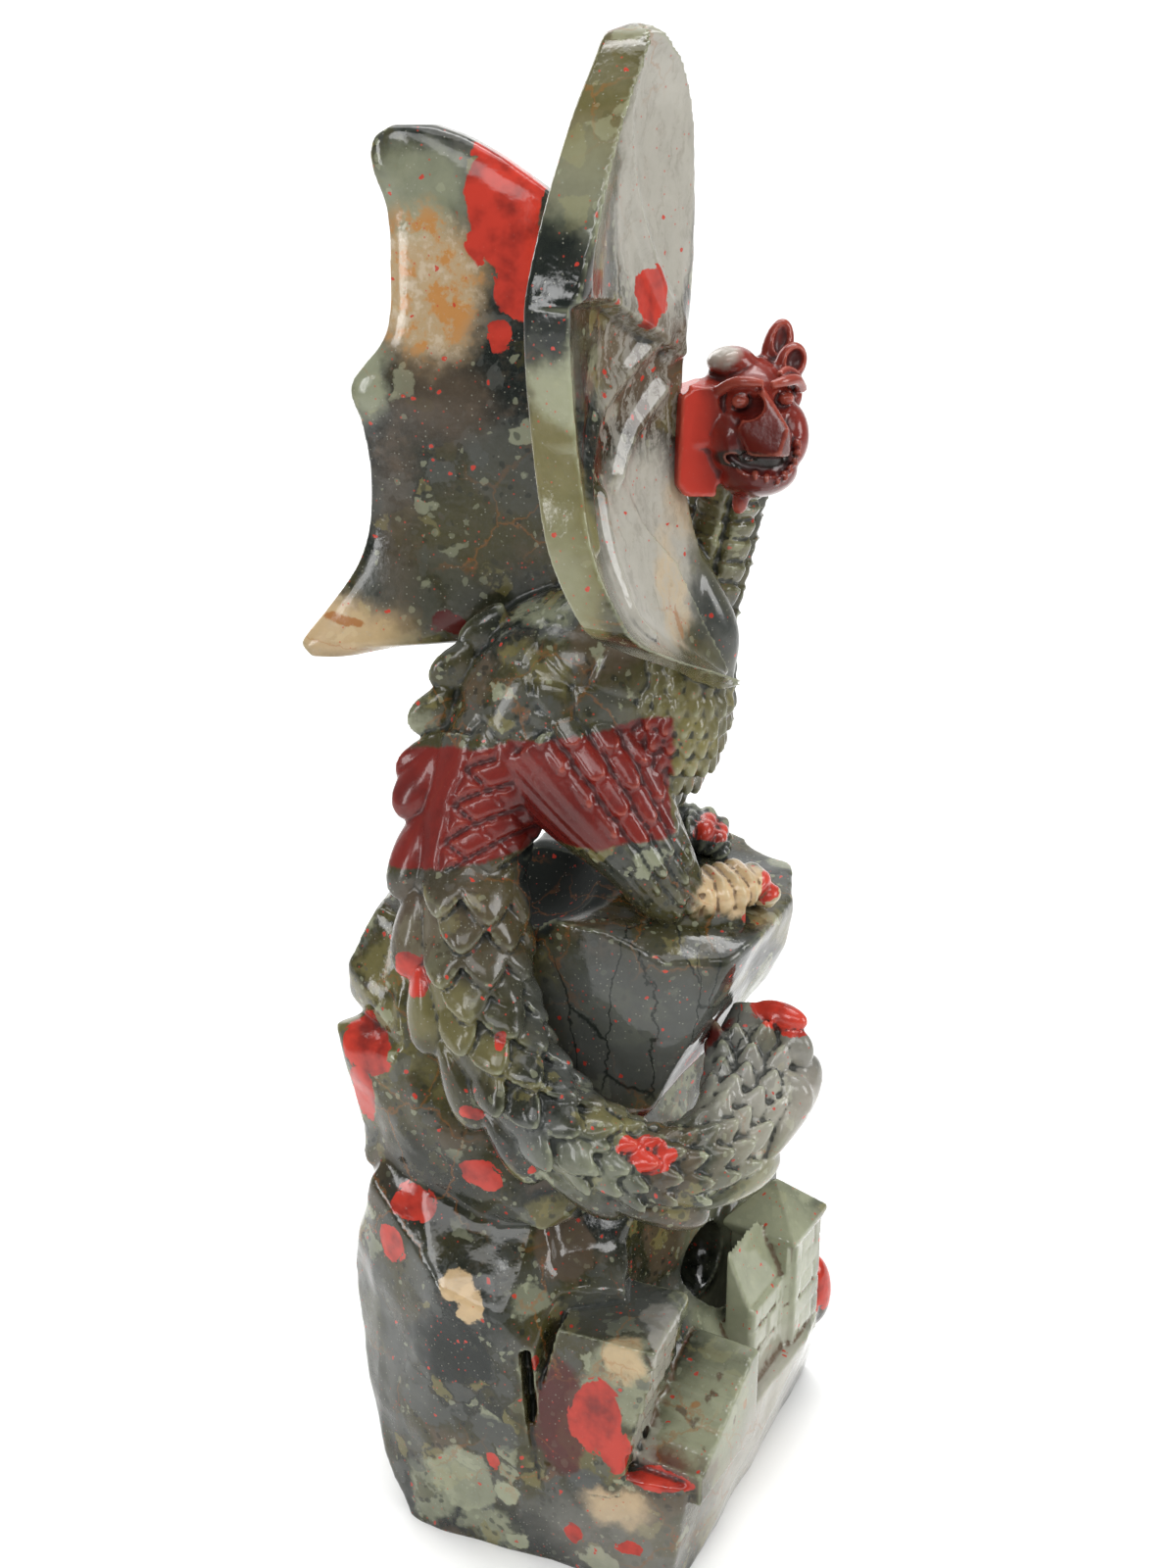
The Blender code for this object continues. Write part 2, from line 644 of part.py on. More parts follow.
# Cliff, in grid squares of the rock
ROCK_MASSES = {
    "left_rock": (
        (-25.8, -15.3, -3), (-9.5, -21.9, -3), (-6.0, 20.0, -3), (-21.0, 6.0, -3), (-30.6, -11.0, 7),
        (-32.9, -6.5, 19), (-34.0, -4.5, 31), (-31.0, -9.0, 46), (-22.5, -19.0, 38), (-14.7, -21.8, 35),
        (-11.4, -22.6, 30), (-11.8, -22.8, 12), (-8.0, -18.0, 36), (-31.0, 10.0, 38), (-20.0, 22.0, 34),
        (-2.0, 20.0, 44), (-26.0, -6.0, 52), (-10.0, -12.0, 46),
    ),
    "back_rock": (
        (-14.0, -12.0, -3), (2.0, -12.0, -3), (6.0, 2.0, -3), (19.0, 14.0, -3), (-5.0, 27.8, -3),
        (-20.0, 8.0, -3), (-8.0, 29.0, 20), (-24.0, 20.0, 26), (4.0, 27.0, 36), (-10.0, -15.0, 40),
        (-2.0, -12.0, 37), (4.0, 2.0, 44), (14.0, 12.0, 50), (12.0, 20.0, 48), (-20.0, 20.0, 50),
        (-16.0, -10.0, 50), (13.0, 8.0, 54),
    ),
    "upper_rock": (
        (-31.9, -5.0, 46), (-26.0, -10.0, 46), (-10.0, -17.0, 44), (-2.0, -15.5, 50), (4.0, -8.0, 44),
        (13.2, 9.0, 55), (10.0, 18.0, 54), (-26.0, 16.0, 46), (-32.8, -1.0, 56), (-25.0, -12.5, 58),
        (-31.0, 8.0, 62), (-27.0, -9.0, 70), (-4.0, -13.0, 62), (-26.0, -4.0, 78), (-24.0, 12.0, 80),
        (-8.0, 18.0, 72), (8.0, 12.0, 66), (-12.0, -6.0, 82), (-4.0, 12.0, 82),
    ),
    "ledge": (
        (-15.0, -9.0, 82.2), (-4.0, -15.0, 82.2), (4.0, -18.0, 79.4), (11.0, -17.0, 79.0),
        (15.0, -13.0, 80.6), (19.6, -3.0, 81.2), (20.0, 6.0, 81.6), (11.0, 15.5, 82.2),
        (-10.0, 15.0, 82.2), (19.6, -3.0, 79.0),
        (18.6, -2.5, 74.0), (16.8, -2.5, 70.0), (15.0, -2.5, 68.4), (3.0, -16.6, 60.5), (-6.0, -14.0, 57.0),
        (1.2, -14.5, 57.0), (2.0, -9.0, 56.0), (12.0, 6.0, 67.0), (-12.0, 8.0, 60.0),
    ),
    "grey_peak": (
        (-29.4, -3.0, 79.4), (-33.2, -3.5, 72.4), (-33.0, -2.0, 67.4), (-27.0, -9.5, 66.0),
        (-24.0, -6.0, 78.0), (-26.0, 8.0, 80.0), (-32.0, 5.0, 70.0), (-24.0, -8.0, 60.0), (-20.0, 0.0, 60.0),
    ),
    "red_peak": (
        (-35.0, -4.0, 64.6), (-33.6, -6.5, 62.0), (-33.2, -5.0, 56.0), (-29.0, -9.0, 60.5),
        (-27.0, -11.0, 64.0), (-28.0, -2.0, 66.0), (-31.8, -4.0, 49.0), (-25.0, -12.0, 52.0),
        (-30.0, 6.0, 62.0), (-22.0, 0.0, 50.0),
    ),
    "bastion_back": (
        (-14.0, -18.0, 12), (-13.0, -18.0, 36), (-8.0, -18.0, 37), (0.0, -16.0, 35), (2.0, -16.0, 12),
        (-8.0, -8.0, 42), (0.0, -8.0, 38), (-12.0, -12.0, 12), (0.0, -8.0, 12),
    ),
}
# The squared base under the keep: corners at the underside, then at the top of the plinth
PLINTH_FOOT = ((-11.0, -21.3), (4.9, -27.8), (25.7, 15.4), (8.0, 22.0))
PLINTH_TOP = (
    (-12.3, -22.6),
    (6.9, -27.4),
    (15.2, -14.0),
    (24.6, 1.6),
    (28.4, 13.0),
    (12.0, 25.0),
    (-11.6, -18.0),
)
# The slope behind the stair, up to the cave under the cliff; heights count from the plinth
KEEP_SLOPE = (
    (2.0, -24.0, -3), (8.0, -21.0, -1), (13.6, -12.0, -1), (2.0, -15.0, 11), (6.0, -8.0, 11),
    (12.0, -4.0, 10.5), (14.4, -5.0, 4), (0.0, 0.0, 12), (12.0, 4.0, 12),
)


def cliff():
    """The rock masses and the squared ground of the keep."""
    made = [hull(name, [rock_point(*p) for p in points]) for name, points in ROCK_MASSES.items()]
    foot_corners = [rock_point(x, y, 0) - Vector((0, 0, UNDERSIDE_TRIM)) for x, y in PLINTH_FOOT]
    made.append(hull("keep_ground", foot_corners + [plinth_point(x, y, 0) for x, y in PLINTH_TOP]))
    made.append(hull("keep_slope", [plinth_point(*p) for p in KEEP_SLOPE]))
    return made


def masonry(name, size, placed, walls):
    """A tower: a smooth core, and on the chosen walls courses of blocks that stand a little proud of it.

    Walls are counted in quarter turns from the one that faces local +X.
    """
    width, depth, height = size
    made = [block(f"{name}_core", size, placed)]
    courses = max(1, round(height / COURSE_HEIGHT))
    rise = height / courses
    for quarter in walls:
        reach, run = (width, depth) if quarter % 2 == 0 else (depth, width)
        count = max(1, round(run / (1.7 * COURSE_HEIGHT)))
        length = run / count
        turn = Matrix.Rotation(quarter * math.pi / 2, 4, "Z")
        for row in range(courses):
            shift = (row % 2) * length / 2
            for i in range(count + row % 2):
                start = max(-run / 2, -run / 2 + i * length - shift)
                end = min(run / 2, -run / 2 + (i + 1) * length - shift)
                size_here = (BLOCK_PROUD * 2, end - start - JOINT_WIDTH, rise - JOINT_WIDTH)
                here = turn @ Matrix.Translation((reach / 2, (start + end) / 2, row * rise + JOINT_WIDTH / 2))
                made.append(block(f"{name}_block_{quarter}_{row}_{i}", size_here, placed @ here))
    return made


def hipped_roof(name, width, placed):
    """A roof that falls to all four eaves from a point."""
    half = width / 2 + ROOF_OVERHANG
    eaves = [(x, y, z) for x in (-half, half) for y in (-half, half) for z in (0, ROOF_OVERHANG)]
    return hull(name, [placed @ Vector(p) for p in [*eaves, (0, 0, ROOF_HEIGHT)]])


def keep():
    """Bastion, gatehouse, towers, turret and stair."""

    def stand(x, y, turn, lean=(0, 0)):
        slant = Matrix.Identity(4)
        slant[0][2], slant[1][2] = lean
        sunk = plinth_point(x, y, 0) - Vector((0, 0, FOOTING))
        return Matrix.Translation(sunk) @ Matrix.Rotation(turn, 4, "Z") @ slant

    made = []
    bastion = stand(*BASTION_PLACE, BASE_TURN, BASTION_LEAN)
    made += masonry("bastion", (BASTION_WIDTH, BASTION_DEPTH, BASTION_HEIGHT + FOOTING), bastion, (0,))

    gatehouse = stand(*GATEHOUSE_PLACE, KEEP_TURN)
    size = (GATEHOUSE_DEPTH, GATEHOUSE_WIDTH, GATEHOUSE_HEIGHT + FOOTING)
    made += masonry("gatehouse", size, gatehouse, (0,))
    top = gatehouse @ Matrix.Translation((0, 0, GATEHOUSE_HEIGHT + FOOTING))
    made.append(hull("gatehouse_top", [top @ Vector(p) for p in lean_to(GATEHOUSE_DEPTH, GATEHOUSE_WIDTH)]))

    for name, place, width, height, walls in (
        ("tower", TOWER_PLACE, TOWER_WIDTH, TOWER_HEIGHT, (0, 1, 3)),
        ("rear_tower", REAR_TOWER_PLACE, REAR_TOWER_WIDTH, REAR_TOWER_HEIGHT, (0, 1)),
    ):
        foot_place = stand(*place, KEEP_TURN)
        made += masonry(name, (width, width, height + FOOTING), foot_place, walls)
        eaves = foot_place @ Matrix.Translation((0, 0, height + FOOTING))
        made.append(hipped_roof(f"{name}_roof", width, eaves))

    radii = (TURRET_RADIUS, TURRET_RADIUS, TURRET_HEIGHT)
    made.append(ellipsoid("turret", plinth_point(*TURRET_PLACE, 0), radii))
    stair = stand(*STAIR_PLACE, KEEP_TURN)
    for i in range(STEP_COUNT):
        size = (STAIR_WIDTH, STEP_TREAD * (STEP_COUNT - i), STEP_RISE + (FOOTING if i == 0 else 0))
        raised = STEP_RISE * i + (FOOTING if i else 0)
        made.append(block(f"step_{i}", size, stair @ Matrix.Translation((0, STEP_TREAD * i / 2, raised))))
    return made


def lean_to(depth, width):
    """A roof that rises from a building's outer wall to its inner one."""
    side_view = ((depth / 2, 0), (-depth / 2, 0), (-depth / 2, LEAN_TO_RISE))
    return [(x, y, z) for y in (-width / 2, width / 2) for x, z in side_view]


def statue():
    """The whole carving: every piece melted together, thinned and cut flat underneath."""
    pieces = [tail(), *tail_plates(), *body(), *head()]
    pieces.append(wing("near_wing", NEAR_WING_LEVELS, NEAR_WING_RIBS, Vector((1, -0.4, 0)), 90, 40))
    pieces.append(wing("far_wing", FAR_WING_LEVELS, FAR_WING_RIBS, Vector((0, 1, 0)), 90, 40))
    pieces += cliff() + keep()
    carved = join(STATUE, pieces)
    add_remesh(carved, CARVING_GRID)
    bake(carved)
    thin = carved.modifiers.new("thin_out", "DECIMATE")
    thin.ratio = STATUE_TRIANGLES / sum(len(p.vertices) - 2 for p in carved.data.polygons)
    thin.use_collapse_triangulate = True
    reach = 4 * max(BASE_WIDTH, BASE_DEPTH)
    subtract(carved, block("floor_cutter", (reach, reach, reach), Matrix.Translation((0, 0, -reach))))
    return carved


def stone_material():
    material = bpy.data.materials.new("polished_breccia")
    material.use_nodes = True
    shader = material.node_tree.nodes["Principled BSDF"]
    shader.inputs["Base Color"].default_value = STONE
    shader.inputs["Roughness"].default_value = 0.18
    return material


def main():
    for old in list(bpy.data.objects):
        bpy.data.objects.remove(old)
    carved = statue()
    carved.data.materials.append(stone_material())


main()
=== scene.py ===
"""A polished stone dragon on its cliff above a small keep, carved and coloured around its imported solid."""

import math

import bmesh
import bpy
import numpy as np
from bpy.props import FloatProperty, FloatVectorProperty, IntProperty, PointerProperty
from mathutils import Matrix, Vector, noise


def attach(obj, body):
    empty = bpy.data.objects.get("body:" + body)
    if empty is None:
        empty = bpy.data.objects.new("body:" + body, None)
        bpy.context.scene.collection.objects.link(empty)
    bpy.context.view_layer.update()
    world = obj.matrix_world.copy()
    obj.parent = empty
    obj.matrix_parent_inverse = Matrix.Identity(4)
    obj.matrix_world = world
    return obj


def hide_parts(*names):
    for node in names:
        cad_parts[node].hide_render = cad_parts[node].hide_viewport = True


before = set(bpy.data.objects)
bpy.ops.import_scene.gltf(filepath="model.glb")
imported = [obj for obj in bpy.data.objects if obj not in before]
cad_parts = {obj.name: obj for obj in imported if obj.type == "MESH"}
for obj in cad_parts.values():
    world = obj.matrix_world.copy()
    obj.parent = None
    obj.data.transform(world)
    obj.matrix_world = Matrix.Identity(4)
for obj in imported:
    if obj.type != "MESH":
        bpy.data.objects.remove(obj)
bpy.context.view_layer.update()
STATUE_NODE = "dragon_statue"

bl_info = {
    "name": "Carved stone dragon",
    "version": (1, 0, 0),
    "blender": (4, 5, 0),
    "location": "3D View > Sidebar > Statue",
    "description": "Carves and colours a stone dragon on a cliff with a keep",
    "category": "Add Mesh",
}


def length(name, description, default):
    return FloatProperty(
        name=name, description=description, default=default, unit="LENGTH", subtype="DISTANCE", precision=5
    )


def colour(name, description, default):
    return FloatVectorProperty(
        name=name, description=description, default=default, size=3, min=0, max=1, subtype="COLOR"
    )


class StatueSizes(bpy.types.PropertyGroup):
    rock_height: length("Rock height", "From the underside to the ledge under the feet", 0.082)
    dragon_height: length("Dragon height", "From the ledge to the tip of the near wing", 0.093)
    base_width: length("Base width", "Across the foot of the cliff", 0.059)
    base_depth: length("Base depth", "From the front to the back of the foot", 0.058)
    plinth_height: length("Plinth height", "From the underside to the keep's ground", 0.0156)
    wing_front: length("Wing front edge", "Thickness of a wing at its leading edge", 0.0034)
    wing_rim: length("Wing rim", "Thickness of a wing at its outer rim", 0.0054)
    wing_membrane: length("Wing membrane", "Least thickness between the ribs", 0.0030)
    rib_rise: length("Rib rise", "How far a wing rib stands out of the hollow", 0.0010)
    rib_width: length("Rib width", "Half width of a wing rib", 0.0009)
    fold_rise: length("Fold rise", "Step where the upper membrane laps over the lower one", 0.0023)
    scale_pitch: length("Scale pitch", "From one row of tail scales to the next", 0.0036)
    scale_width: length("Scale width", "Width of a tail scale", 0.0060)
    scale_thickness: length("Scale thickness", "Thickness of a tail scale", 0.0014)
    belly_pitch: length("Belly pitch", "From one row of belly scales to the next", 0.0019)
    groove_pitch: length("Groove pitch", "From one cut on the hip to the next", 0.0038)
    thigh_pitch: length("Thigh pitch", "From one long cut on the thigh to the next", 0.0028)
    leaf_length: length("Leaf length", "From one row of leaf tips on the thigh to the next", 0.0036)
    groove_depth: length("Groove depth", "Depth of the cuts on the hip and thigh", 0.0010)
    plate_pitch: length("Plate pitch", "From one plate on the tail's outer edge to the next", 0.0076)
    plate_rise: length("Plate rise", "How far those plates stand out", 0.0036)
    plate_thickness: length("Plate thickness", "Thickness of those plates", 0.0046)
    course_height: length("Course height", "Height of a row of wall blocks", 0.0031)
    joint_width: length("Joint width", "Gap between wall blocks", 0.0005)
    block_proud: length("Block rise", "How far a wall block stands out of its joints", 0.0006)
    rock_waves: length("Rock unevenness", "Height of the slow waves in the polished rock", 0.0004)
    fine_grid: length("Carving grid", "Size of the cells that melt the shapes together", 0.00032)
    face_grid: length("Face grid", "Size of those cells on the head", 0.00020)
    scales_seed: IntProperty(name="Scale seed", description="Draw for the uneven scales", default=7, min=0)


class StoneColours(bpy.types.PropertyGroup):
    # shade is the stone's dark ground, and also the painted shade in the recess under the thigh, the cave,
    # the mouth and the cuts
    shade: colour("Dark matrix", "Ground of the stone", (0.007, 0.010, 0.008))
    slate: colour("Slate", "Smooth blue-grey clasts", (0.062, 0.066, 0.060))
    moss: colour("Moss", "Dark olive stone", (0.040, 0.036, 0.012))
    olive: colour("Olive", "Yellow-green stone", (0.165, 0.145, 0.055))
    umber: colour("Umber", "Smoky brown clasts", (0.095, 0.068, 0.045))
    celadon: colour("Celadon", "Pale green clasts", (0.270, 0.285, 0.190))
    silver: colour("Silver grey", "Cloudy pale grey stone", (0.340, 0.325, 0.280))
    cream: colour("Cream", "Cream and tan clasts", (0.500, 0.360, 0.200))
    rust: colour("Rust", "Thin rusty veins", (0.260, 0.085, 0.012))
    jasper: colour("Red jasper", "Red stone", (0.420, 0.034, 0.020))
    brick: colour("Brick jasper", "Duller red of the hip and thigh", (0.092, 0.010, 0.008))
    wine: colour("Wine", "Dark red in the shade of the face", (0.062, 0.005, 0.004))
    speck: colour("Speck", "Small pale specks", (0.300, 0.300, 0.240))
    amber: colour("Amber", "Rusty clouds in the cream", (0.380, 0.160, 0.035))
    sand: colour("Sand", "Smoky clouds in the cream", (0.460, 0.380, 0.280))
    maroon: colour("Maroon", "Front of the face", (0.170, 0.020, 0.013))
    # glow is painted light: the red stone's convex edges are painted paler, as light shining through thin
    # stone
    glow: colour("Glow", "Thin edges of the red stone", (0.500, 0.100, 0.060))
    # Painted shade with dirt: the cuts of the keep and the foot are painted this dark brown
    earth: colour("Earth", "Dirt in the cuts of the keep and foot", (0.075, 0.038, 0.014))
    # Painted shade: the cuts of the red stone are painted this dark red
    dregs: colour("Dregs", "Dark polish in the cuts of the red stone", (0.030, 0.003, 0.003))
    course: colour("Course", "Lines between the bastion's blocks", (0.110, 0.034, 0.018))


def sizes():
    return bpy.context.scene.statue_sizes


# Grid squares of the carving: a millimetre each at the default sizes
DRAGON_SQUARES = 93
ROCK_SQUARES = 82
BASE_SQUARES_WIDE = 59
BASE_SQUARES_DEEP = 58


def dragon_size(squares):
    return squares * sizes().dragon_height / DRAGON_SQUARES


def dragon_point(x, y, z):
    """A point of the dragon, counted in grid squares from the ledge under its feet."""
    return Vector((dragon_size(x), dragon_size(y), sizes().rock_height + dragon_size(z)))


def rock_point(x, y, z):
    """A point of the cliff, counted in grid squares from the middle of the underside."""
    own = sizes()
    return Vector(
        (
            x * own.base_width / BASE_SQUARES_WIDE,
            y * own.base_depth / BASE_SQUARES_DEEP,
            z * own.rock_height / ROCK_SQUARES,
        )
    )


def plinth_point(x, y, above):
    """A point of the keep's ground, counted up from the top of the plinth."""
    own = sizes()
    return rock_point(x, y, 0) + Vector((0, 0, own.plinth_height + above * own.rock_height / ROCK_SQUARES))


def catmull_rom(values, count):
    """Vectors spaced along a smooth curve through the given ones."""
    points = [Vector(v) for v in values]
    points = [2 * points[0] - points[1], *points, 2 * points[-1] - points[-2]]
    spans = len(points) - 3
    made = []
    for i in range(count):
        place = spans * i / (count - 1)
        k = min(int(place), spans - 1)
        t = place - k
        a, b, c, d = points[k : k + 4]
        curve = 2 * b + (c - a) * t + (2 * a - 5 * b + 4 * c - d) * t**2 + (3 * b - a - 3 * c + d) * t**3
        made.append(0.5 * curve)
    return made


def directions(spine):
    """The way a curve runs at each of its points."""
    last = len(spine) - 1
    return [(spine[min(i + 1, last)] - spine[max(i - 1, 0)]).normalized() for i in range(last + 1)]


def new_object(name, mesh):
    made = bpy.data.objects.new(name, mesh)
    bpy.context.scene.collection.objects.link(made)
    return made


def mesh_object(name, builder):
    """A new object whose mesh is what builder puts in an empty BMesh."""
    mesh = bpy.data.meshes.new(name)
    shape = bmesh.new()
    builder(shape)
    bmesh.ops.recalc_face_normals(shape, faces=shape.faces)
    shape.to_mesh(mesh)
    shape.free()
    return new_object(name, mesh)


def loft(name, rings):
    """A closed skin over rings that all have the same number of points."""

    def build(shape):
        rows = [[shape.verts.new(point) for point in ring] for ring in rings]
        around = len(rows[0])
        for row, after in zip(rows, rows[1:]):
            for j in range(around):
                k = (j + 1) % around
                shape.faces.new((row[j], row[k], after[k], after[j]))
        for end in (rows[0], rows[-1]):
            middle = shape.verts.new(sum((v.co for v in end), Vector()) / around)
            for j in range(around):
                shape.faces.new((end[j], end[(j + 1) % around], middle))

    return mesh_object(name, build)


def hull(name, points):
    """The convex solid around the points."""

    def build(shape):
        for point in points:
            shape.verts.new(point)
        made = bmesh.ops.convex_hull(shape, input=shape.verts)
        left = made["geom_interior"] + made["geom_unused"]
        spare = {item for item in left if isinstance(item, bmesh.types.BMVert)}
        bmesh.ops.delete(shape, geom=list(spare), context="VERTS")

    return mesh_object(name, build)


def ellipsoid(name, centre, radii, turn=None):
    placed = Matrix.Translation(centre) @ (turn or Matrix()) @ Matrix.Diagonal((*radii, 1))

    def build(shape):
        bmesh.ops.create_uvsphere(shape, u_segments=32, v_segments=16, radius=1, matrix=placed)

    return mesh_object(name, build)


def block(name, size, placed):
    """A box of the given size, standing on its own origin, moved by a matrix."""
    lifted = placed @ Matrix.Translation((0, 0, size[2] / 2)) @ Matrix.Diagonal((*size, 1))

    def build(shape):
        bmesh.ops.create_cube(shape, size=1, matrix=lifted)

    return mesh_object(name, build)


class Ring:
    """One cross-section of a tube: its middle, its axes and its half sizes."""

    def __init__(self, centre, tangent, outward, half_width, half_depth, along):
        self.centre = centre
        self.tangent = tangent
        self.first = outward.normalized()
        self.second = tangent.cross(self.first).normalized()
        self.half_width = half_width
        self.half_depth = half_depth
        self.along = along

    def point(self, angle, lift=0.0):
        return (
            self.centre
            + self.first * math.cos(angle) * (self.half_width + lift)
            + self.second * math.sin(angle) * (self.half_depth + lift)
        )

    def out(self, angle):
        across = self.first * math.cos(angle) / self.half_width
        return (across + self.second * math.sin(angle) / self.half_depth).normalized()

    def girth(self):
        return math.pi * (self.half_width + self.half_depth)


def sweep(stations, count):
    """Rings along stations of the dragon (centre, half width, half depth), in grid squares."""
    spine = catmull_rom([dragon_point(*centre) for centre, _, _ in stations], count)
    halves = catmull_rom([(dragon_size(wide), dragon_size(deep), 0) for _, wide, deep in stations], count)
    rings, along, before = [], 0.0, spine[0]
    for centre, tangent, half in zip(spine, directions(spine), halves):
        along += (centre - before).length
        before = centre
        rings.append(Ring(centre, tangent, Vector((0, 1, 0)).cross(tangent), half.x, half.y, along))
    return rings


def tube(name, rings, around, relief=None):
    """A tube over rings; relief(along, angle) adds to the radius."""
    skin = []
    for ring in rings:
        angles = [2 * math.pi * j / around for j in range(around)]
        skin.append([ring.point(a, relief(ring.along, a) if relief else 0.0) for a in angles])
    return loft(name, skin)


def join(name, objects):
    """One object that holds the shapes of all the given ones."""
    mesh = bpy.data.meshes.new(name)
    shape = bmesh.new()
    for source in objects:
        shape.from_mesh(source.data)
    shape.to_mesh(mesh)
    shape.free()
    for source in objects:
        bpy.data.objects.remove(source)
    return new_object(name, mesh)


def bake(target):
    """Replaces the object's mesh by what its modifiers make of it."""
    graph = bpy.context.evaluated_depsgraph_get()
    graph.update()
    mesh = bpy.data.meshes.new_from_object(target.evaluated_get(graph))
    target.modifiers.clear()
    target.data = mesh


def melt(target, grid):
    """Melts overlapping shapes into one skin."""
    modifier = target.modifiers.new("melt", "REMESH")
    modifier.mode = "VOXEL"
    modifier.voxel_size = grid
    modifier.adaptivity = 0
    bake(target)


def subtract(target, cutters):
    for cutter in cutters:
        modifier = target.modifiers.new(cutter.name, "BOOLEAN")
        modifier.operation = "DIFFERENCE"
        modifier.object = cutter
        bake(target)
        bpy.data.objects.remove(cutter)


def add_node(tree, kind, settings=None, **values):
    """A node: its settings first, then a value or a link for each socket, by name or by number as _0."""
    node = tree.nodes.new(kind)
    for name, value in (settings or {}).items():
        setattr(node, name, value)
    for name, value in values.items():
        socket = node.inputs[int(name[1:])] if name[0] == "_" else node.inputs[name.replace("_", " ")]
        if isinstance(value, Amount):
            value = value.socket
        if isinstance(value, bpy.types.NodeSocket):
            tree.links.new(value, socket)
        else:
            socket.default_value = value
    return node


class Amount:
    """A number that varies over a shape; sums on it add Math nodes to its tree."""

    def __init__(self, tree, socket):
        self.tree = tree
        self.socket = socket

    def maths(self, operation, *values):
        placed = {f"_{i}": value for i, value in enumerate(values)}
        node = add_node(self.tree, "ShaderNodeMath", {"operation": operation}, **placed)
        return Amount(self.tree, node.outputs[0])

    def __add__(self, other):
        return self.maths("ADD", self, other)

    __radd__ = __add__

    def __sub__(self, other):
        return self.maths("SUBTRACT", self, other)

    def __rsub__(self, other):
        return self.maths("SUBTRACT", other, self)

    def __mul__(self, other):
        return self.maths("MULTIPLY", self, other)

    __rmul__ = __mul__

    def least(self, other):
        return self.maths("MINIMUM", self, other)

    def most(self, other):
        return self.maths("MAXIMUM", self, other)

    def between(self, low, high):
        """0 below low, 1 above high, and smooth from one to the other."""
        smooth = {"interpolation_type": "SMOOTHSTEP"}
        node = add_node(self.tree, "ShaderNodeMapRange", smooth, Value=self, From_Min=low, From_Max=high)
        return Amount(self.tree, node.outputs[0])

    def below(self, high, soft):
        """1 below high and 0 above it."""
        return 1 - self.between(high - soft, high + soft)


# Inputs of the trees for carved shapes that repeat: name, type and default
REPEAT_INPUTS = (
    ("Width", "NodeSocketFloat", 0.003),
    ("Length", "NodeSocketFloat", 0.004),
    ("Thickness", "NodeSocketFloat", 0.001),
    ("Lean", "NodeSocketFloat", 0.2),
    ("Point", "NodeSocketFloat", 0.6),
    ("Unevenness", "NodeSocketFloat", 0.1),
    ("Seed", "NodeSocketInt", 0),
    ("Material", "NodeSocketMaterial", None),
)


# How finely the rounded shapes are divided
ROUNDNESS = {"leaf": 2, "lobe": 3}


def repeat_tree(kind):
    """A tree that sets a leaf, a lobe or a block on each point, along the point's own axes."""
    tree = bpy.data.node_groups.new(f"{kind}_on_points", "GeometryNodeTree")
    tree.is_modifier = True
    tree.interface.new_socket("Geometry", in_out="INPUT", socket_type="NodeSocketGeometry")
    for name, socket_type, default in REPEAT_INPUTS:
        socket = tree.interface.new_socket(name, in_out="INPUT", socket_type=socket_type)
        if default is not None:
            socket.default_value = default
    tree.interface.new_socket("Geometry", in_out="OUTPUT", socket_type="NodeSocketGeometry")
    given = tree.nodes.new("NodeGroupInput").outputs

    if kind == "block":
        shape = add_node(tree, "GeometryNodeMeshCube", Size=(1, 1, 1)).outputs["Mesh"]
    else:
        ball = add_node(tree, "GeometryNodeMeshIcoSphere", Radius=0.5, Subdivisions=ROUNDNESS[kind])
        place = add_node(tree, "GeometryNodeInputPosition").outputs[0]
        apart = add_node(tree, "ShaderNodeSeparateXYZ", _0=place).outputs
        x, y, z = (Amount(tree, socket) for socket in apart)
        along = y + 0.5
        narrowed = x * (1 - along * along * Amount(tree, given["Point"]))
        thickened = z * (along * 0.9 + 0.5)
        keel = x.maths("ABSOLUTE", x) * -0.5 * along
        bent = add_node(tree, "ShaderNodeCombineXYZ", _0=narrowed, _1=y, _2=thickened + keel).outputs[0]
        ball = ball.outputs["Mesh"]
        shape = add_node(tree, "GeometryNodeSetPosition", Geometry=ball, Position=bent).outputs[0]

    sides = {f"_{i}": given[name] for i, name in enumerate(("Width", "Length", "Thickness"))}
    scale = add_node(tree, "ShaderNodeCombineXYZ", **sides).outputs[0]
    lean = add_node(tree, "ShaderNodeCombineXYZ", _0=given["Lean"]).outputs[0]
    sized = add_node(tree, "GeometryNodeTransform", Geometry=shape, Rotation=lean, Scale=scale).outputs[0]

    def own(name):
        kind = {"data_type": "FLOAT_VECTOR"}
        return add_node(tree, "GeometryNodeInputNamedAttribute", kind, Name=name).outputs["Attribute"]

    axes = {"primary_axis": "Z", "secondary_axis": "Y"}
    out, along = own("out"), own("along")
    turn = add_node(tree, "FunctionNodeAxesToRotation", axes, Primary_Axis=out, Secondary_Axis=along)
    drawn = add_node(tree, "FunctionNodeRandomValue", {"data_type": "FLOAT"}, Seed=given["Seed"])
    uneven = Amount(tree, given["Unevenness"])
    for socket, value in ((drawn.inputs[2], 1 - uneven), (drawn.inputs[3], 1 + uneven)):
        tree.links.new(value.socket, socket)
    scaled = {"operation": "SCALE"}
    size = add_node(tree, "ShaderNodeVectorMath", scaled, _0=own("size"), Scale=drawn.outputs[1])
    spread = add_node(
        tree,
        "GeometryNodeInstanceOnPoints",
        Points=given["Geometry"],
        Instance=sized,
        Rotation=turn.outputs[0],
        Scale=size.outputs[0],
    )
    whole = add_node(tree, "GeometryNodeRealizeInstances", Geometry=spread.outputs[0]).outputs[0]
    painted = add_node(tree, "GeometryNodeSetMaterial", Geometry=whole, Material=given["Material"])
    end = tree.nodes.new("NodeGroupOutput")
    tree.links.new(painted.outputs[0], end.inputs[0])
    return tree


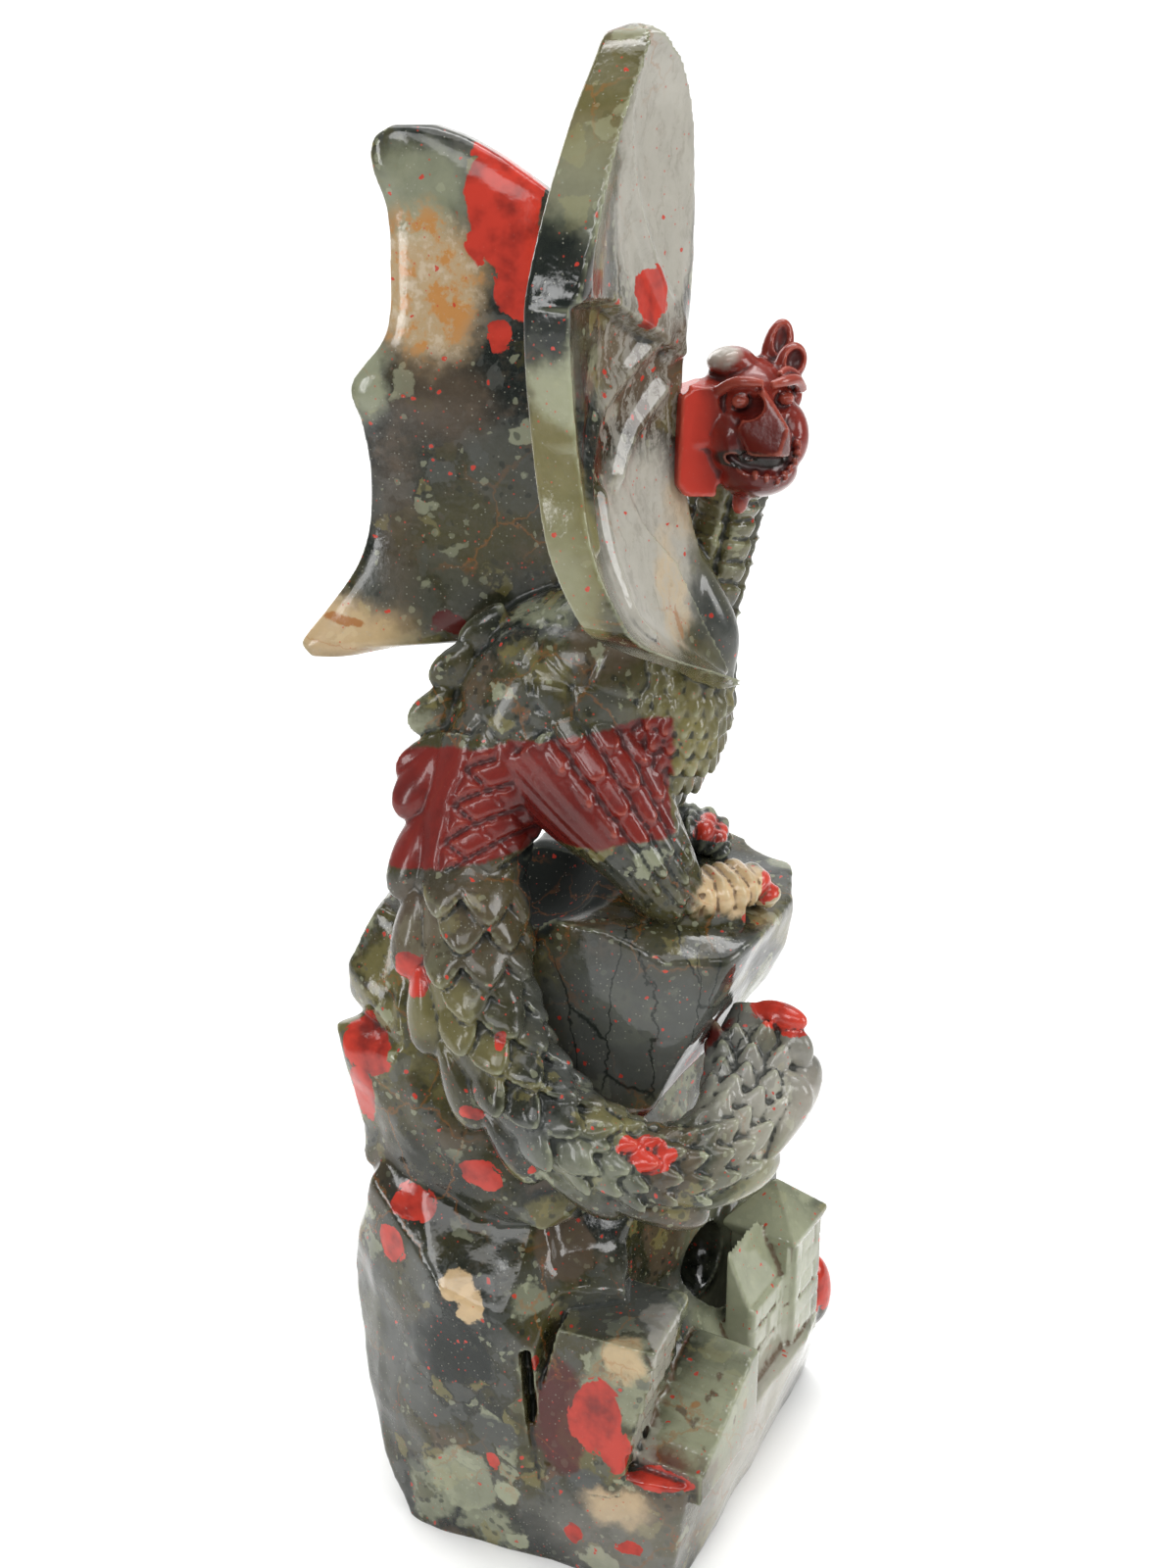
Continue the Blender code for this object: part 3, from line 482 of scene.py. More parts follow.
def repeat(name, points, size, kind="leaf", lean=0.0, point=0.6, uneven=0.10):
    """Sets a carved shape of one size on points (place, out, along, share of size), as one mesh."""
    tree = bpy.data.node_groups.get(f"{kind}_on_points") or repeat_tree(kind)
    mesh = bpy.data.meshes.new(name)
    mesh.from_pydata([tuple(place) for place, _, _, _ in points], [], [])
    for label, column in (("out", 1), ("along", 2), ("size", 3)):
        values = np.array([tuple(point[column]) for point in points], dtype=np.float32)
        mesh.attributes.new(label, "FLOAT_VECTOR", "POINT").data.foreach_set("vector", values.ravel())
    made = new_object(name, mesh)
    modifier = made.modifiers.new(name, "NODES")
    modifier.node_group = tree
    given = dict(zip(("Width", "Length", "Thickness"), size), Lean=lean, Point=point, Unevenness=uneven)
    given.update(Seed=sizes().scales_seed, Material=stone())
    for item in tree.interface.items_tree:
        if item.in_out == "INPUT" and item.name in given:
            modifier[item.identifier] = given[item.name]
    bake(made)
    return made


# Parts of the dragon: centre, half width and half depth of each station, in grid squares
TAIL_STATIONS = (
    ((-14.5, -2, 16), 8.0, 8.5),
    ((-17.2, -6.5, 8), 6.8, 6.8),
    ((-18.0, -11, -1), 6.2, 6.0),
    ((-16.8, -14.5, -9), 5.8, 5.6),
    ((-13.3, -18, -15.5), 5.3, 5.2),
    ((-7.8, -21.5, -21), 4.9, 4.8),
    ((-1.0, -23.5, -24), 4.6, 4.5),
    ((5.6, -23.5, -25.0), 4.7, 4.4),
    ((11.4, -20.0, -23.0), 4.9, 4.0),
    ((14.0, -15.5, -18.8), 5.2, 3.2),
    ((14.6, -12, -14.6), 4.6, 2.4),
    ((14.8, -10, -11.6), 3.0, 1.6),
)
# Lobes of the fan at the end of the tail: centre and radii, in grid squares
TAIL_FAN = (
    ((17.4, -12.2, -12.0), (3.5, 1.5, 1.6)),
    ((18.8, -13.8, -15.4), (2.6, 1.7, 2.7)),
    ((18.4, -16.8, -19.8), (2.8, 2.1, 2.9)),
)
TORSO_STATIONS = (
    ((-16, -1, 10), 6.0, 6.0),
    ((-12, -1, 16), 10.5, 9.5),
    ((-7, 0, 21), 13.0, 11.0),
    ((-1, 0, 26), 11.5, 10.5),
    ((4, 0, 30), 8.5, 8.0),
    ((7, 0, 34), 5.5, 5.5),
)
NECK_STATIONS = (
    ((4.4, 0, 27), 7.0, 6.0),
    ((7.4, 0.5, 33), 4.8, 5.2),
    ((9.3, 1, 39), 4.2, 4.8),
    ((10.4, 0.5, 45), 4.2, 4.6),
    ((11.4, -1.5, 51), 4.6, 5.0),
)
NEAR_SHOULDER_STATIONS = (
    ((4.6, -4.5, 43), 1.4, 2.0),
    ((6.8, -5.5, 37), 2.6, 3.0),
    ((9.0, -5.5, 31.5), 2.9, 3.2),
    ((9.6, -5.0, 26.6), 2.0, 2.4),
)
# Roots of the first plates of the crest
SPINE_PLATES = ((-16.0, -1.5, 30.5), (-19.4, -2.0, 26.6), (-22.0, -2.5, 21.6), (-23.4, -4.0, 16.2))
NEAR_LEG_STATIONS = (
    ((-7.0, -5, 19), 9.5, 7.5),
    ((-2.9, -9, 14.0), 7.8, 6.0),
    ((1.2, -11, 8.6), 5.5, 5.0),
    ((4.0, -11.5, 4.2), 4.4, 3.8),
    ((6.0, -11, 1.4), 3.4, 3.0),
)
FAR_LEG_STATIONS = (
    ((-4, 6, 20), 9.0, 6.0),
    ((-1, 9, 14), 7.5, 5.0),
    ((2, 10, 8), 5.0, 4.2),
    ((4.5, 10, 4), 3.4, 3.2),
    ((6, 10, 2.2), 2.8, 2.8),
)
# Heel and toe
NEAR_FOOT = (Vector((4.6, -10.8, -0.8)), Vector((14.6, -7.0, 0.2)))
FAR_FOOT = (Vector((1.0, 9.0, 0)), Vector((10.6, 7.6, 0.6)))
BELLY_STATIONS = (
    ((6.0, -1.5, 33), 4.8, 5.4),
    ((5.4, -2.5, 28), 6.0, 7.4),
    ((4.8, -3.0, 22.5), 6.4, 8.4),
    ((3.4, -3.0, 17.5), 5.8, 7.6),
    ((0.5, -2.5, 13.0), 4.0, 5.6),
)

# Wings: height, then the leading and trailing point in plan
NEAR_WING_LEVELS = (
    (26.5, (9.0, -7.5), (11.2, -9.5)),
    (30.0, (9.0, -6.5), (7.2, -15.5)),
    (33.5, (8.4, -6.0), (2.4, -22.0)),
    (37.0, (7.4, -6.0), (-1.6, -28.0)),
    (40.0, (6.4, -6.0), (-3.6, -30.4)),
    (46.0, (4.8, -6.0), (-6.2, -30.0)),
    (53.0, (3.8, -6.0), (-7.4, -29.2)),
    (61.0, (4.0, -6.0), (-8.2, -29.2)),
    (67.0, (4.6, -6.0), (-8.4, -30.2)),
    (71.0, (4.8, -6.0), (-8.0, -30.2)),
    (78.0, (4.8, -6.5), (-6.2, -29.0)),
    (85.0, (4.4, -8.0), (-3.9, -26.5)),
    (89.5, (3.2, -11.5), (-2.0, -23.5)),
    (91.8, (1.6, -15.4), (-1.0, -21.4)),
    (93.0, (0.7, -17.4), (0.1, -18.9)),
)
FAR_WING_LEVELS = (
    (25.2, (-32.0, 8.0), (-36.6, 8.4)),
    (26.6, (-25.0, 7.4), (-37.6, 8.6)),
    (28.0, (-14.0, 6.0), (-36.8, 8.8)),
    (31.0, (-6.0, 4.5), (-34.2, 9.0)),
    (36.0, (-3.0, 4.0), (-30.6, 9.0)),
    (41.0, (-2.0, 4.0), (-29.0, 8.8)),
    (47.0, (-1.5, 4.0), (-28.7, 8.6)),
    (52.0, (-1.5, 4.0), (-29.4, 8.6)),
    (56.5, (-1.8, 4.2), (-30.4, 8.6)),
    (62.0, (-2.4, 4.6), (-26.4, 8.6)),
    (69.0, (-3.8, 5.0), (-25.6, 8.4)),
    (75.0, (-6.5, 5.6), (-25.8, 8.2)),
    (79.4, (-12.0, 6.4), (-27.2, 8.0)),
    (82.2, (-16.8, 7.0), (-27.0, 7.9)),
    (83.6, (-20.6, 7.4), (-25.0, 7.8)),
)
# Ribs of a wing: share across from the leading edge and height, along each rib
NEAR_WING_RIBS = (
    ((0.12, 64.6), (0.36, 61.0), (0.58, 58.0), (0.78, 52.0), (0.88, 46.5)),
    ((0.14, 58.5), (0.32, 55.0), (0.44, 51.0)),
    ((0.62, 50), (0.66, 42), (0.72, 36)),
    ((0.10, 62), (0.42, 76), (0.75, 90)),
)
FAR_WING_RIBS = (
    ((0.10, 54), (1.0, 56.5)),
    ((0.08, 50), (1.0, 27)),
    ((0.06, 48), (0.6, 28)),
    ((0.10, 56), (0.85, 80)),
)
# Edge of the near wing's membrane over the lobe at its root: height and share across
NEAR_WING_LIP = ((27, 0.30), (31, 0.24), (36, 0.20), (41, 0.22), (45, 0.33), (50, 0.38))
# Where the upper membrane laps over the lower one: share across and height
NEAR_WING_FOLD = ((0.0, 61.0), (0.10, 62.0), (0.32, 65.0), (0.60, 68.4), (1.0, 69.6))
FAR_WING_FOLD = ((0.0, 55.0), (0.5, 57.0), (1.0, 57.0))
# Squares over which the fold starts, and over which it fades above and at the end of the lip
FOLD_START = 0.3
FOLD_SLOPE = 0.5
FOLD_FADE = 9
LIP_FADE = 6
# The lip: its share of the fold's rise, and metres over which it climbs and then fades
LIP_SHARE = 0.6
LIP_SLOPE = 0.0003
LIP_REACH = 0.003
# A wing seen in plan: squares of its bow, the span that bows fully, and how much its edges are rounded
WING_BOW = 1.6
WING_BOW_SPAN = 20
WING_ROUNDING = 0.14


def step_height(fold, share_across, height):
    """How far the upper membrane stands over the lower one: most at the fold, and less further up."""
    line = float(np.interp(share_across, [s for s, _ in fold], [h for _, h in fold]))
    above = height - line
    climb = min(1.0, max(0.0, above + FOLD_START) / FOLD_SLOPE)
    return sizes().fold_rise * climb * math.exp(-max(0.0, above) / FOLD_FADE)


def lip_height(lip, share_across, height, span):
    """How far the membrane stands over the lobe at the wing's root, most at its edge."""
    if not lip or height > lip[-1][0]:
        return 0.0
    edge = float(np.interp(height, [h for h, _ in lip], [s for _, s in lip]))
    past = max(0.0, (share_across - edge) * span)
    fade = min(1.0, (lip[-1][0] - height) / LIP_FADE)
    return LIP_SHARE * sizes().fold_rise * fade * min(1.0, past / LIP_SLOPE) * math.exp(-past / LIP_REACH)


def rib_height(ribs, share_across, height, span):
    """How far the ribs stand proud of the membrane at a place on the wing."""
    own = sizes()
    rise, width, square = own.rib_rise, own.rib_width, own.dragon_height / DRAGON_SQUARES
    best = 0.0
    x, y = share_across * span, square * height
    for rib in ribs:
        for (s0, h0), (s1, h1) in zip(rib, rib[1:]):
            ax, ay, bx, by = s0 * span, h0 * square, s1 * span, h1 * square
            dx, dy = bx - ax, by - ay
            t = max(0.0, min(1.0, ((x - ax) * dx + (y - ay) * dy) / (dx * dx + dy * dy)))
            away = math.hypot(x - ax - dx * t, y - ay - dy * t) / width
            if away < 3:
                best = max(best, rise * math.exp(-(away**2)))
    return best


def wing(name, levels, ribs, fold, lip, hollow_side, count=230, across=90):
    """A wing plate: smooth behind, hollow between its ribs on the side that faces hollow_side."""
    own = sizes()
    heights = catmull_rom([(z, 0, 0) for z, _, _ in levels], count)
    leads = catmull_rom([(*lead, 0) for _, lead, _ in levels], count)
    trails = catmull_rom([(*trail, 0) for _, _, trail in levels], count)
    rings = []
    for height, lead, trail in zip(heights, leads, trails):
        reach = trail - lead
        span = dragon_size(reach.length)
        normal = Vector((-reach.y, reach.x, 0)).normalized()
        if normal.dot(hollow_side) < 0:
            normal = -normal
        narrow = min(1.0, span / own.wing_rim)
        bowed = min(1.0, span / dragon_size(WING_BOW_SPAN))
        hollow, back = [], []
        for j in range(across + 1):
            part = j / across
            edge = own.wing_front + (own.wing_rim - own.wing_front) * part**0.5
            half = edge / 2 * narrow
            rounded = 1 - WING_ROUNDING * (2 * part - 1) ** 16
            bowl = math.sin(math.pi * min(1.0, part * 1.02)) ** 0.55
            sunk = max(0.0, edge - own.wing_membrane) * bowl
            bow = -dragon_size(WING_BOW) * math.sin(math.pi * part) * bowed
            rise = step_height(fold, part, height.x) * min(1.0, part / 0.12)
            rise += rib_height(ribs, part, height.x, span)
            rise += lip_height(lip, part, height.x, span)
            middle = dragon_point(*(lead + reach * part).xy, height.x) + normal * bow
            capped = min(sunk + own.fold_rise * 0.4, rise)
            hollow.append(middle + normal * (half * rounded - sunk + capped))
            back.append(middle - normal * half * rounded)
        rings.append(hollow + back[::-1])
    return loft(name, rings)


def groove(place, pitch, width):
    """How deep a repeated cut is at a place: 1 on its line and 0 away from it."""
    away = (place / pitch + 0.5) % 1 - 0.5
    return math.exp(-((away * pitch / width) ** 2))


# The hip: angle from the outer edge of the tail to the thin line down it, its radius in squares,
# how far the cuts slant, and the half widths of line, cuts and side cuts in metres
HIP_LINE = 1.00
HIP_RADIUS = 6.5
HIP_SLANT = 0.75
HIP_SIDE_SLANT = 0.45
HIP_LINE_WIDTH = 0.00022
HIP_CUT_WIDTH = 0.00044
HIP_SIDE_WIDTH = 0.00034
# Side cuts grow weaker past this distance from the line
HIP_SIDE_REACH = 0.0034


def hip_relief(along, angle):
    """Blunt plates outside a thin line down the hip; slanted cuts with short side cuts inside it."""
    own = sizes()
    turn = abs((angle + math.pi) % (2 * math.pi) - math.pi)
    across = (turn - HIP_LINE) * dragon_size(HIP_RADIUS)
    waver = 0.0002 * math.sin(along / 0.0009)
    line = 0.5 * math.exp(-(((across + waver) / HIP_LINE_WIDTH) ** 2))
    if across < 0:
        return -own.groove_depth * line
    main = groove(along + HIP_SLANT * across, own.groove_pitch, HIP_CUT_WIDTH)
    side = groove(along - HIP_SIDE_SLANT * across, own.groove_pitch, HIP_SIDE_WIDTH)
    return -own.groove_depth * max(line, main, side * (0.9 if across < HIP_SIDE_REACH else 0.45))


# The thigh: angle around the leg of its longest cut, how many cuts, its radius in squares, the half
# widths of those cuts and of the faint ones beside them, and how far the leaf tips stand out
THIGH_CUT = 4.65
THIGH_CUTS = 3
THIGH_RADIUS = 7.0
THIGH_CUT_WIDTH = 0.00040
FAINT_CUT_WIDTH = 0.00026
LEAF_TIP_RISE = 0.0006


def thigh_relief(along, angle):
    """Three long cuts down the thigh, with rows of leaf tips between them."""
    own = sizes()
    across = (THIGH_CUT - angle) * dragon_size(THIGH_RADIUS)
    column = across / own.thigh_pitch
    if not -0.5 < column < THIGH_CUTS + 0.5:
        return -0.30 * own.groove_depth * groove(across, own.thigh_pitch * 0.62, FAINT_CUT_WIDTH)
    cut = groove(across, own.thigh_pitch, THIGH_CUT_WIDTH) if column < THIGH_CUTS - 0.5 else 0.0
    aside = 2 * (column % 1) - 1
    tip = (along / own.leaf_length + 0.30 * aside**2 + 0.37 * math.floor(column)) % 1
    return -own.groove_depth * cut + LEAF_TIP_RISE * (tip - 0.5)


def scale_points(rings, start, end, pitch, width, size_at, angles=(0.0, 2 * math.pi)):
    """Points in staggered rows around a tube, for scales whose tips point along it."""
    points, due, row = [], start, 0
    first, arc = angles[0], angles[1] - angles[0]
    for ring in rings:
        if ring.along < due or ring.along > end:
            continue
        due += pitch
        row += 1
        run = ring.girth() * arc / (2 * math.pi)
        count = max(4, round(run / width))
        size = size_at(ring)
        for k in range(count):
            angle = first + arc * (k + 0.5 * (row % 2)) / count
            points.append((ring.point(angle), ring.out(angle), ring.tangent, (size, size, size)))
    return points


# Squares along the tail where the hip's cuts end and the plates start, and squares before its end
# where scales and plates stop
HIP_END = 16
SCALES_STOP = 4
PLATES_START = 4
PLATES_STOP = 3
# The scales in two runs: share of the tail where each ends, its scales' size, and their slimness
SCALE_RUNS = ((0.60, 1.0, 1.0), (1.0, 0.72, 0.74))
FAN_TURN = math.radians(-35)


def tail():
    """The tail: cut at the hip, then overlapping leaf scales, with blunt plates down its outer edge."""
    own = sizes()
    rings = sweep(TAIL_STATIONS, 420)
    hip_end = dragon_size(HIP_END)

    def relief(along, angle):
        if along > hip_end:
            return -own.scale_thickness * 0.30
        return hip_relief(along, angle)

    made = [tube("tail", rings, 150, relief)]
    ends = rings[-1].along

    def scale_size(ring):
        return min(1.15, 0.35 + 0.6 * ring.half_width / dragon_size(5))

    inner_side = (HIP_LINE - 0.3, 2 * math.pi - HIP_LINE + 0.3)
    start = hip_end
    for part, share_of_size, slim in SCALE_RUNS:
        end = ends * part if part < 1 else ends - dragon_size(SCALES_STOP)
        pitch, width = own.scale_pitch * share_of_size, own.scale_width * share_of_size * slim
        points = scale_points(rings, start, end, pitch, width * 0.84, scale_size, inner_side)
        size = (width, pitch * 1.80, own.scale_thickness * share_of_size)
        made.append(repeat("tail_scales", points, size, lean=0.30, point=0.50))
        start = end
    plates, due = [], dragon_size(PLATES_START)
    for ring in rings:
        if ring.along < due or ring.along > ends - dragon_size(PLATES_STOP):
            continue
        due += own.plate_pitch
        size = min(1.0, 0.45 + ring.half_width / dragon_size(8))
        plates.append((ring.point(0), ring.first, ring.tangent, (size, size, size)))
    size = (own.plate_thickness * 1.45, own.plate_pitch * 1.75, own.plate_rise * 1.35)
    made.append(repeat("tail_plates", plates, size, "lobe", lean=0.16, point=0.10, uneven=0.04))
    turn = Matrix.Rotation(FAN_TURN, 4, "Z")
    for i, (centre, radii) in enumerate(TAIL_FAN):
        radii = [dragon_size(r) for r in radii]
        made.append(ellipsoid(f"tail_fan_{i}", dragon_point(*centre), radii, turn))
    return made


# In metres: the back's flat plates and the neck's rings and columns, with the depths of their cuts
BACK_PLATE = 0.0052
BACK_CUT = 0.0005
NECK_PITCH = 0.0026
NECK_CUT = 0.0005
NECK_COLUMN_CUT = 0.0011
# Width, length and thickness of a belly scale and a tooth in metres, and of a crest plate in squares
BELLY_SCALE = (0.0024, 0.0036, 0.0013)
BELLY_SPACING = 0.0021
TOOTH = (0.0008, 0.0011, 0.0012)
CREST_PLATE = (3.6, 7.4, 5.2)
CREST_PITCH = math.radians(24)
CREST_YAW = math.radians(12)
# Toes, in squares: how far apart, and the pitch and rise of their rings
TOE_SPREAD = 2.3
TOE_RING_PITCH = 1.7
TOE_RING_RISE = 0.95


def body():
    """Trunk, neck, belly, legs, feet and the first plates of the crest."""
    own = sizes()

    def back_plates(along, angle):
        place = Vector((along / BACK_PLATE, angle * 1.9, 0.3))
        near, second = noise.voronoi(place)[0][:2]
        return -BACK_CUT * math.exp(-(((second - near) / 0.06) ** 2)) + 0.0001 * (0.5 - near)

    def neck_plates(along, angle):
        steps = groove(along + 0.0006 * math.cos(3 * angle), NECK_PITCH, 0.00026)
        columns = groove(angle + 0.5, 1.05, 0.09)
        return -NECK_CUT * steps - NECK_COLUMN_CUT * columns + 0.0006 * (along / NECK_PITCH % 1)

    belly = sweep(BELLY_STATIONS, 200)
    made = [
        tube("torso", sweep(TORSO_STATIONS, 200), 160, back_plates),
        tube("neck", sweep(NECK_STATIONS, 160), 90, neck_plates),
        tube("near_leg", sweep(NEAR_LEG_STATIONS, 200), 130, thigh_relief),
        tube("far_leg", sweep(FAR_LEG_STATIONS, 160), 110, thigh_relief),
        tube("belly", belly, 80),
        tube("near_shoulder", sweep(NEAR_SHOULDER_STATIONS, 60), 40),
    ]
    points = scale_points(belly, 0.001, belly[-1].along, own.belly_pitch, BELLY_SPACING, lambda ring: 1.0)
    made.append(repeat("belly_scales", points, BELLY_SCALE, lean=0.30, point=0.45))
    crest = []
    turn = Matrix.Rotation(CREST_PITCH, 3, "Y") @ Matrix.Rotation(CREST_YAW, 3, "Z")
    for root in SPINE_PLATES:
        crest.append((dragon_point(*root), turn @ Vector((-1, 0, 0)), turn @ Vector((0, 0, -1)), (1, 1, 1)))
    size = [dragon_size(side) for side in CREST_PLATE]
    made.append(repeat("crest_plates", crest, size, "lobe", lean=0.12, point=0.35, uneven=0.04))
    return made + foot("near", *NEAR_FOOT, 0.55, 1.5) + foot("far", *FAR_FOOT)


def foot(name, heel, toe, apart=1.0, stoutness=1.0):
    """Three ringed toes that close over the ledge, and a sole."""
    run = toe - heel
    side = Vector((-run.y, run.x, 0)).normalized()
    corners = [
        dragon_point(*(heel + run * t + side * s + Vector((0, 0, z))))
        for t, half in ((-0.15, 2.2), (0.45, 3.4), (0.75, 3.2))
        for s in (-half, half)
        for z in (-1.5, 1.2)
    ]
    made = [hull(f"{name}_sole", corners)]
    ring_pitch = dragon_size(TOE_RING_PITCH)

    def toe_rings(along, angle):
        return dragon_size(TOE_RING_RISE) * (abs(math.sin(math.pi * along / ring_pitch)) ** 0.8 - 0.45)

    for i, spread in enumerate((-TOE_SPREAD * apart, 0.0, TOE_SPREAD * apart)):
        start = heel + run * 0.1 + side * spread * 0.6
        middle = start.lerp(toe, 0.45) + side * spread * 0.6
        tip = toe + side * spread * 0.9
        stations = (
            (tuple(start + Vector((-1.6, 0, 2.8))), 2.2, 1.6 * stoutness),
            (tuple(middle + Vector((0, 0, 2.5))), 2.0, 1.6 * stoutness),
            (tuple(tip + Vector((-1.2, 0, 2.2))), 1.75, 1.5 * stoutness),
            (tuple(tip + Vector((0.6, 0, 1.0))), 1.35, 1.2),
            (tuple(tip + Vector((1.2, 0, -0.4))), 0.7, 0.6),
        )
        made.append(tube(f"{name}_toe_{i}", sweep(stations, 150), 48, toe_rings))
    return made


# Head: where it sits in the dragon's squares, and which way it looks
HEAD_CENTRE = (12.3, -4.0, 54.5)
HEAD_TURN = math.radians(14)
HEAD_TILT = math.radians(-4)
# Its parts, in squares to the right, forward and up from its middle
MANE_EDGE = ((-8.2, 3.0), (-8.7, -6.2), (-7.8, -7.4), (-4.4, -7.6), (-4.0, 4.2))
TEMPLE = ((-7.6, 2.8, 4.0), (-7.2, 3.2, -2), (-4.4, 3.8, 3.6), (-4.2, 4.2, -2.5), (-4, -1, 5))
SNOUT_CORNERS = (
    (-0.5, 5.9, 4.3), (-0.7, 6.9, 3.4), (-3.2, 6.0, -0.2), (-2.2, 7.2, -3.0),
    (0.2, 9.3, -2.9), (1.2, 9.3, 0.0), (2.7, 6.4, -1.0), (2.0, 7.6, -3.3),
    (0.4, 8.0, 1.6), (0, 2.6, 2.4), (-2.6, 3.0, -2.4), (2.6, 3.0, -2.4),
)
TEETH = (
    (3.5, 5.7, -2.2), (3.4, 5.9, -3.1), (3.0, 6.2, -3.9), (2.4, 6.5, -4.6),
    (1.7, 6.8, -5.2), (0.9, 6.9, -5.7), (-0.3, 6.9, -5.3), (-1.4, 6.6, -5.0),
)
# Lumps of the head: centre, radii and tilt in degrees
SKULL_LUMPS = {
    "skull": ((0, -0.6, 1.0), (4.9, 6.4, 5.6), 0),
    "jaw": ((0.1, 2.2, -5.0), (4.4, 5.0, 2.9), 0),
    "left_cheek": ((-3.1, 2.2, -1.8), (2.3, 3.6, 3.7), 0),
    "right_cheek": ((3.5, 2.0, -1.6), (2.3, 3.6, 3.7), 0),
    "lip": ((0.3, 4.6, -5.9), (3.0, 2.2, 1.0), 0),
}
TOP_LUMPS = {
    "tall_ear": ((3.6, -1.2, 7.0), (1.75, 1.1, 3.3), 14),
    "cup_ear": ((4.2, 1.4, 5.8), (1.7, 1.3, 2.2), 20),
    "low_ear": ((5.2, -0.2, 2.2), (0.8, 1.3, 1.6), 6),
    "crown": ((-2.0, 0.4, 6.0), (2.6, 2.8, 1.7), 0),
    "crown_tuft": ((-2.6, 1.6, 6.4), (1.7, 1.5, 1.0), -20),
    "goatee": ((-1.6, 2.4, -8.2), (0.9, 1.0, 1.5), 10),
}
SOCKETS = {
    "left_socket": ((-2.6, 6.2, 2.2), (2.1, 2.3, 1.6), 8),
    "right_socket": ((2.8, 6.0, 2.3), (2.0, 2.2, 1.6), -8),
}
EAR_HOLLOWS = {
    "cup_hollow": ((4.4, 2.6, 6.1), (1.05, 1.1, 1.35), 20),
    "ear_hollow": ((3.8, -0.3, 8.2), (0.85, 0.6, 1.7), 14),
}
EYES = {
    "left_eye": ((-2.5, 4.9, 2.35), (0.95, 0.8, 0.72), 0),
    "left_pupil": ((-2.4, 5.5, 2.4), (0.36, 0.36, 0.36), 0),
    "right_eye": ((2.6, 4.6, 2.45), (0.85, 0.8, 0.7), 0),
    "right_pupil": ((2.8, 5.2, 2.5), (0.34, 0.34, 0.34), 0),
}
# Rounded bars of the head: right, forward, up and radius of each point
MOUTH = (
    (-4.0, 4.4, -2.9, 0.3), (-2.6, 6.2, -3.9, 0.8), (0, 7.6, -4.2, 1.1), (2.2, 7.0, -4.0, 1.1),
    (3.8, 5.0, -3.0, 0.7),
)
LEFT_BROW = ((-4.8, 2.8, 2.9, 0.6), (-3.4, 4.8, 4.2, 0.6), (-1.9, 5.9, 4.4, 0.6), (-0.5, 6.4, 4.2, 0.4))
RIGHT_BROW = ((5.0, 2.6, 3.2, 0.6), (3.6, 4.7, 4.3, 0.6), (1.9, 5.9, 4.3, 0.6), (0.3, 6.4, 4.0, 0.4))
EAR_FOLD = ((1.6, 5.2, 4.9, 0.4), (3.0, 3.8, 5.2, 0.5), (4.6, 2.6, 4.4, 0.4), (5.2, 1.0, 3.0, 0.4))
FACE_BARS = {"left_brow": LEFT_BROW, "right_brow": RIGHT_BROW, "ear_fold": EAR_FOLD}
# The way the bars' cross-sections face
BAR_SIDE = Vector((0.1, -1, 0.2))


def head():
    """The head, from lumps and cuts placed in squares: right, forward and up from its middle."""
    placed = (
        Matrix.Translation(dragon_point(*HEAD_CENTRE))
        @ Matrix.Rotation(HEAD_TURN, 4, "Z")
        @ Matrix.Rotation(HEAD_TILT, 4, "X")
    )
    turned = placed.to_3x3()
    square = dragon_size(1)

    def at(right, forward, up):
        return placed @ (Vector((right, -forward, up)) * square)

    def lumps(table):
        made = []
        for name, (centre, radii, tilt) in table.items():
            turn = turned.to_4x4() @ Matrix.Rotation(math.radians(tilt), 4, "Y")
            made.append(ellipsoid(name, at(*centre), [r * square for r in radii], turn))
        return made

    def bar(name, points):
        spine = catmull_rom([at(*point[:3]) for point in points], 40)
        radii = catmull_rom([(point[3] * square, 0, 0) for point in points], 40)
        rings = []
        for centre, tangent, radius in zip(spine, directions(spine), radii):
            outward = turned @ BAR_SIDE.cross(tangent)
            rings.append(Ring(centre, tangent, outward, radius.x, radius.x, 0))
        return tube(name, rings, 20)

    plates = [
        hull("mane", [at(right, forward, up) for right, up in MANE_EDGE for forward in (-4.6, 3.2)]),
        hull("temple", [at(*corner) for corner in TEMPLE]),
        hull("snout", [at(*corner) for corner in SNOUT_CORNERS]),
    ]
    skull = join("dragon_head", [*lumps(SKULL_LUMPS), *plates, *lumps(TOP_LUMPS)])
    melt(skull, sizes().face_grid * 1.5)
    subtract(skull, [*lumps(SOCKETS), bar("mouth", MOUTH), *lumps(EAR_HOLLOWS)])
    beads = []
    for right, forward, up in TEETH:
        outward = turned @ Vector((right * 0.2, -1, 0))
        beads.append((at(right, forward, up), outward, turned @ Vector((0, 0, -1)), (1, 1, 1)))
    teeth = repeat("teeth", beads, TOOTH, point=0.3, uneven=0.12)
    return [skull, *(bar(name, points) for name, points in FACE_BARS.items()), *lumps(EYES), teeth]


